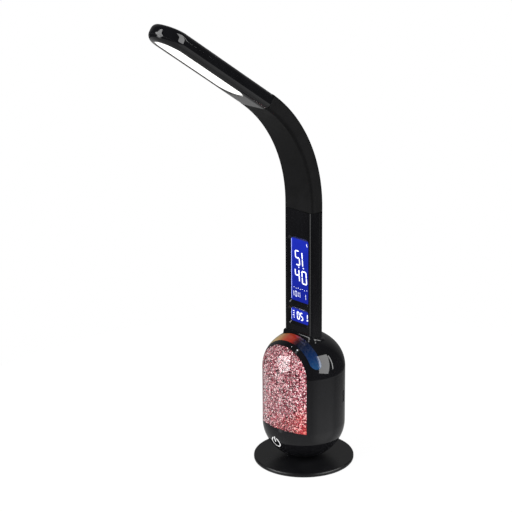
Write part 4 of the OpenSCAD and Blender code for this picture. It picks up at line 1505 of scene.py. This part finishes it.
@dataclass
class Head:
    """Flat light head with its panel of light."""

    finishes: Finishes
    root: Vector
    lean: float
    length: float = 159 * MM
    width: float = 45 * MM
    thick: float = 18.4 * MM
    corner: float = 7.5 * MM
    wall: float = 1.8 * MM
    drop_l: float = 30 * MM
    drop_r: float = 220.5 * MM
    drop_power: int = 3
    seam_rise: float = 5 * MM
    seam_half: float = 0.09 * MM
    seam_start: float = 2 * MM
    seam_steps: int = 40
    start: float = 0.3 * MM
    root_wall: float = 2 * MM
    opening: Spot = (38.2 * MM, 9.4 * MM)
    post_x: float = 11 * MM
    post_z: Spot = (37 * MM, 128 * MM)
    post_span: Spot = (1.3 * MM, 7.4 * MM)
    post_r: Spot = (2.5 * MM, 0.68 * MM)
    stations: Point = (40 * MM, 80 * MM, 118 * MM)
    near_tip: int = 8
    near_tip_step: float = 1.5 * MM
    flat_steps: int = 6
    edge_steps: int = 24
    tuck_steps: int = 4
    tip_steps: int = 64
    weld: float = 0.001 * MM

    @property
    def tip(self) -> float:
        """Place along the head of the middle of its round tip."""
        return self.length - self.width / 2

    def place(self, x: float, y: float, z: float) -> Vector:
        """Turn a place in the head's own frame, along its length, into one in the model's frame."""
        cos, sin = math.cos(self.lean), math.sin(self.lean)
        return self.root + Vector((x, y * cos - z * sin, y * sin + z * cos))

    def build(self) -> None:
        """Dress the head."""
        look = self.finishes
        look.dress({
            "head_bezel": look.gloss, "light_panel": look.panel, "light_tray": look.white,
            "head_board": look.pale_board, "head_lights": look.lamp, "head_screws": look.zinc,
        })
        housing = self.housing()
        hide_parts("head_housing")
        for piece in (housing, self.seam()):
            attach(piece, "head")
            LOG.info("piece %s", piece.name)

    def section(self, inset: float) -> list[Spot]:
        """Trace half of the housing's section, from the middle of the top to the parting line.

        Args:
            inset: How far the section is drawn in.

        Returns:
            Distances from the middle with their heights.
        """
        half, top, radius = self.width / 2 - inset, self.thick / 2 - inset, self.corner - inset
        flat, low = half - radius, top - radius
        points = [(flat * step / self.flat_steps, top) for step in range(self.flat_steps)]
        for step in range(self.edge_steps + 1):
            turn = math.pi / 2 * step / self.edge_steps
            points.append((flat + radius * math.sin(turn), low + radius * math.cos(turn)))
        points.append((half, 0.0))
        end = math.asin((self.thick / 2 - self.seam_rise - low) / radius)
        for step in range(self.tuck_steps + 1):
            turn = end * step / self.tuck_steps
            points.append((flat + radius * math.cos(turn), -low - radius * math.sin(turn)))
        return points

    def path(self, stops: Sequence[float], steps: int) -> list[Point]:
        """Give the places of sections up one side of the head, round its tip and down the other.

        Args:
            stops: Places along the sides, from the root to the tip.
            steps: How many steps the turn round the tip has.

        Returns:
            For each section its share across and along the head, and the place it starts from.
        """
        turns = [math.pi * step / steps for step in range(steps + 1)]
        round_tip = [(-math.cos(turn), math.sin(turn), self.tip) for turn in turns]
        left = [(-1.0, 0.0, z) for z in stops]
        return left + round_tip + [(1.0, 0.0, z) for z in reversed(stops)]

    def shell_path(self, start: float) -> list[Point]:
        """Give the places of the housing's sections, from a start along the head."""
        near = [self.tip - self.near_tip_step * step for step in range(self.near_tip, 0, -1)]
        return self.path([start, *self.stations, *near], self.tip_steps)

    def row(self, points: list[Spot], across: float, along: float, z: float) -> list[Vector]:
        """Place half a section, with the fall of the head's top towards its tip.

        Args:
            points: The half section.
            across: Share of its reach across the head.
            along: Share of its reach along the head.
            z: Place along the head that it starts from.

        Returns:
            The placed points.
        """
        placed = []
        top, power = points[0][1], self.drop_power
        for reach, y in points:
            past = max(0.0, z + along * reach - (self.length - self.drop_l))
            if y > 0:
                fall = self.drop_r - math.sqrt(self.drop_r**2 - past**2)
                y = top - ((top - y) ** power + fall**power) ** (1 / power)
            placed.append(self.place(across * reach, y, z + along * reach))
        return placed

    def housing(self) -> bpy.types.Object:
        """Make the head's upper shell, with its wall, the opening at its root and its posts.

        Returns:
            The piece.
        """
        mesh = bmesh.new()
        outer, inner = self.section(0.0), self.section(self.wall)
        behind = self.start + self.root_wall
        sheet(mesh, [
            self.row(outer, *here) + self.row(inner, *there)[::-1]
            for here, there in zip(self.shell_path(self.start), self.shell_path(behind))
        ])
        wide, high = self.opening[0] / 2, self.opening[1] / 2
        low = self.seam_rise - self.thick / 2
        last = len(outer) - 1 - self.flat_steps
        rim = [(wide * step / self.flat_steps, high) for step in range(self.flat_steps)]
        rim += [(wide, high + (low - high) * step / last) for step in range(last + 1)]
        faces = ((outer, self.start), (rim, self.start), (rim, behind), (inner, behind))
        for side in (-1, 1):
            rows = [[self.place(side * x, y, z) for x, y in points] for points, z in faces]
            sheet(mesh, rows)
            mesh.faces.new([mesh.verts.new(row[-1]) for row in rows])
        bmesh.ops.remove_doubles(mesh, verts=mesh.verts, dist=self.weld)
        for x in (-self.post_x, self.post_x):
            for z in self.post_z:
                self.add_post(mesh, x, z)
        return new_piece("head_shell", mesh, self.finishes.gloss)

    def add_post(self, mesh: bmesh.types.BMesh, x: float, z: float) -> None:
        """Add one of the hollow posts that the head's screws go into.

        Args:
            mesh: Mesh that receives it.
            x: Its place across the head.
            z: Its place along the head.
        """
        (near, far), (wide, bore) = self.post_span, self.post_r
        loft(mesh, [
            [self.place(x + reach * cos, y, z + reach * sin) for cos, sin in circle()]
            for reach, y in ((wide, near), (wide, far), (bore, far), (bore, near))
        ], closed=True)

    def side_at(self, y: float) -> float:
        """Give the half width of the head's section, with its rounded edges.

        Args:
            y: Height in the head's frame.

        Returns:
            The half width there.
        """
        over = abs(y) - (self.thick / 2 - self.corner)
        drawn = self.corner - math.sqrt(max(0.0, self.corner**2 - max(0.0, over) ** 2))
        return self.width / 2 - drawn

    def seam(self) -> bpy.types.Object:
        """Make the dark parting line between the head's shells, round its sides and its tip.

        Returns:
            The piece.
        """
        mesh = bmesh.new()
        stops = [self.seam_start] + [self.tip * share for share in (0.25, 0.5, 0.75)]
        loft(mesh, [self.seam_ring(*place) for place in self.path(stops, self.seam_steps)])
        return new_piece("head_seam", mesh, self.finishes.seam)

    def seam_ring(self, across: float, along: float, z: float) -> list[Vector]:
        """Make one section of the head's parting line.

        Args:
            across: Share of its reach across the head.
            along: Share of its reach along the head.
            z: Place along the head.

        Returns:
            Four points.
        """
        middle = -self.thick / 2 + self.seam_rise
        low, high = middle - self.seam_half, middle + self.seam_half
        corners = ((low, SEAM_PROUD), (high, SEAM_PROUD), (high, -SEAM_DEPTH), (low, -SEAM_DEPTH))
        reaches = [(self.side_at(y) + proud, y) for y, proud in corners]
        return [self.place(across * reach, y, z + along * reach) for reach, y in reaches]


# ---------- studio ----------


def direction(azimuth: float, elevation: float) -> Vector:
    """Give the direction that leads away from the object.

    Args:
        azimuth: Degrees round the object, 0 at the front and 90 at the right.
        elevation: Degrees over the horizon.

    Returns:
        A vector of length 1.
    """
    turn, rise = math.radians(azimuth), math.radians(elevation)
    level = math.cos(rise)
    return Vector((math.sin(turn) * level, -math.cos(turn) * level, math.sin(rise)))


def aimed(
    data: bpy.types.Light | bpy.types.Camera, target: Point, out: Vector, distance: float,
    roll: float = 0.0,
) -> bpy.types.Object:
    """Place a lamp or a camera that looks at a target.

    Args:
        data: The lamp or the camera, whose name the object takes.
        target: What it looks at.
        out: Direction from the target to it.
        distance: Distance from the target.
        roll: Degrees by which it turns about its line of sight.

    Returns:
        The new object.
    """
    obj = bpy.data.objects.new(data.name, data)
    obj.location = Vector(target) + out * distance
    obj.rotation_mode = "QUATERNION"
    twist = Quaternion((0, 0, 1), math.radians(roll))
    obj.rotation_quaternion = (-out).to_track_quat("-Z", "Y") @ twist
    bpy.context.scene.collection.objects.link(obj)
    return obj


@dataclass
class Softbox:
    """A rectangular lamp that stands far off; its size is given for each metre of distance."""

    name: str
    azimuth: float
    elevation: float
    size: Spot
    radiance: float
    roll: float
    distance: float = 8.0
    target: Point = (0.0, 0.0, 0.15)

    def build(self) -> None:
        """Place the lamp and aim it at its target."""
        data = bpy.data.lights.new(self.name, "AREA")
        data.shape = "RECTANGLE"
        data.size, data.size_y = self.size[0] * self.distance, self.size[1] * self.distance
        data.energy = self.radiance * math.pi * data.size * data.size_y
        out = direction(self.azimuth, self.elevation)
        aimed(data, self.target, out, self.distance, self.roll).visible_camera = False
        LOG.info("lamp %s", self.name)


@dataclass(frozen=True)
class Patch:
    """A soft round region of the surroundings that gloss sees.

    It is given by where it is, how many degrees from its middle it is full and where it has faded
    away, and how bright it is.
    """

    azimuth: float
    elevation: float
    full: float
    fade: float
    radiance: float


@dataclass
class Surroundings:
    """The world: white behind the object, and for gloss a dim studio with a table under it."""

    plain: float = 0.42
    dim: float = 0.02
    ground: float = 0.34
    horizon: Spot = (-0.42, -0.34)
    ground_patch: Patch = Patch(106, -26, 14, 34, 0.30)
    patches: tuple[Patch, ...] = (Patch(-23, -12, 6, 14, 2.4), Patch(226, 20, 30, 55, 0.16))

    def build(self) -> None:
        """Build the world."""
        world = bpy.data.worlds.new("studio")
        bpy.context.scene.world = world
        tree = NodeTree(world)
        room = tree.nodes["Background"]
        tree.feed(room.inputs["Strength"], 1.0)
        place = tree.add("TexCoord").outputs["Generated"]
        height = tree.add("SeparateXYZ", Vector=place).outputs["Z"]
        table = tree.calc("ADD", self.patch(tree, place, self.ground_patch), self.ground)
        table = tree.calc("MULTIPLY", table, tree.span(height, 1.0, 0.0, *self.horizon))
        seen = tree.calc("ADD", table, self.dim)
        for patch in self.patches:
            seen = tree.calc("ADD", seen, self.patch(tree, place, patch))
        rays = tree.add("LightPath").outputs
        gloss = tree.blend(rays["Is Glossy Ray"], self.plain, seen)
        white = tree.calc("MAXIMUM", rays["Is Camera Ray"], rays["Is Transmission Ray"])
        tree.feed(room.inputs["Color"], tree.blend(white, gloss, 1.0))

    def patch(self, tree: NodeTree, place: Socket, patch: Patch) -> Socket:
        """Give the radiance of a patch in each direction.

        Args:
            tree: Tree of the world.
            place: The direction.
            patch: The patch.

        Returns:
            Its radiance, 0 outside it.
        """
        toward = tree.add("VectorMath")
        toward.operation = "DOT_PRODUCT"
        tree.feed_all(toward, {0: place, 1: direction(patch.azimuth, patch.elevation)})
        fade, full = math.cos(math.radians(patch.fade)), math.cos(math.radians(patch.full))
        return tree.span(toward.outputs["Value"], 0.0, patch.radiance, fade, full)


@dataclass
class Studio:
    """Pale floor, white backdrop, lamps and the camera at the photo's angle."""

    camera_azimuth: float = 45.79
    camera_pitch: float = 18.06
    camera_distance: float = 1.824
    look_at: Point = (0.0, 0.0, 0.241)
    focal_px: float = 1661.93
    frame_px: float = 512.0
    look_px: float = 303.76
    sensor_mm: float = 36.0
    floor_r: float = 0.48
    floor_steps: int = 128
    floor_grey: float = 0.86
    floor_glow: float = 1.06
    floor_share: float = 0.88
    lamps: tuple[Softbox, ...] = (
        Softbox("right_softbox", 110, 20.5, (0.57, 1.02), 4.7, -20),
        Softbox("front_softbox", -18.9, 21.9, (0.66, 0.89), 5.4, 33.8),
        Softbox("back_strip", 135, 14.5, (0.052, 0.66), 7.0, -10),
    )

    def build(self) -> None:
        """Build the studio."""
        self.floor()
        Surroundings().build()
        for lamp in self.lamps:
            lamp.build()
        self.camera()

    def floor_material(self) -> bpy.types.Material:
        """Make the floor's finish: near white to the camera, grey to light and open to gloss.

        Returns:
            The new material.
        """
        material = bpy.data.materials.new("pale_table")
        tree = NodeTree(material)
        tree.nodes.remove(tree.nodes["Principled BSDF"])
        plain = tree.add("BsdfDiffuse", Color=(self.floor_grey,) * 3)
        white = tree.add("Emission", Color=(1, 1, 1), Strength=self.floor_glow)
        rays = tree.add("LightPath").outputs
        share = tree.calc("MULTIPLY", rays["Is Camera Ray"], self.floor_share)
        seen = tree.mix_shaders(share, plain, white)
        final = tree.mix_shaders(rays["Is Glossy Ray"], seen, tree.add("BsdfTransparent"))
        tree.feed(tree.nodes["Material Output"].inputs["Surface"], final.outputs[0])
        return material

    def floor(self) -> None:
        """Make the round table top, which keeps the shadow and lets gloss see the surroundings."""
        mesh = bmesh.new()
        steps = self.floor_steps
        bmesh.ops.create_circle(mesh, cap_ends=True, segments=steps, radius=self.floor_r)
        data = bpy.data.meshes.new("table_top")
        mesh.to_mesh(data)
        mesh.free()
        obj = bpy.data.objects.new("table_top", data)
        bpy.context.scene.collection.objects.link(obj)
        data.materials.append(self.floor_material())

    def camera(self) -> None:
        """Place the camera where the photo was taken from."""
        data = bpy.data.cameras.new("camera")
        data.sensor_width = self.sensor_mm
        data.lens = self.focal_px * self.sensor_mm / self.frame_px
        data.shift_x = (self.frame_px / 2 - self.look_px) / self.frame_px
        back = direction(self.camera_azimuth, self.camera_pitch)
        bpy.context.scene.camera = aimed(data, self.look_at, back, self.camera_distance)
        LOG.info("camera at azimuth %.1f", self.camera_azimuth)


def main() -> None:
    """Build the studio and dress the lamp, sub-assembly by sub-assembly."""
    logging.basicConfig(level=logging.INFO, format="%(name)s: %(message)s")
    bpy.context.scene.view_settings.view_transform = "Standard"
    Studio().build()
    finishes = Finishes()
    neck = Neck(finishes)
    form = CapsuleForm()
    assemblies: list[Callable[[], None]] = [
        Foot(finishes).build,
        Body(finishes, form).build,
        Column(finishes, form).build,
        neck.build,
        Head(finishes, neck.spine(neck.length), neck.bend).build,
    ]
    for build in assemblies:
        build()


if __name__ == "__main__":
    main()
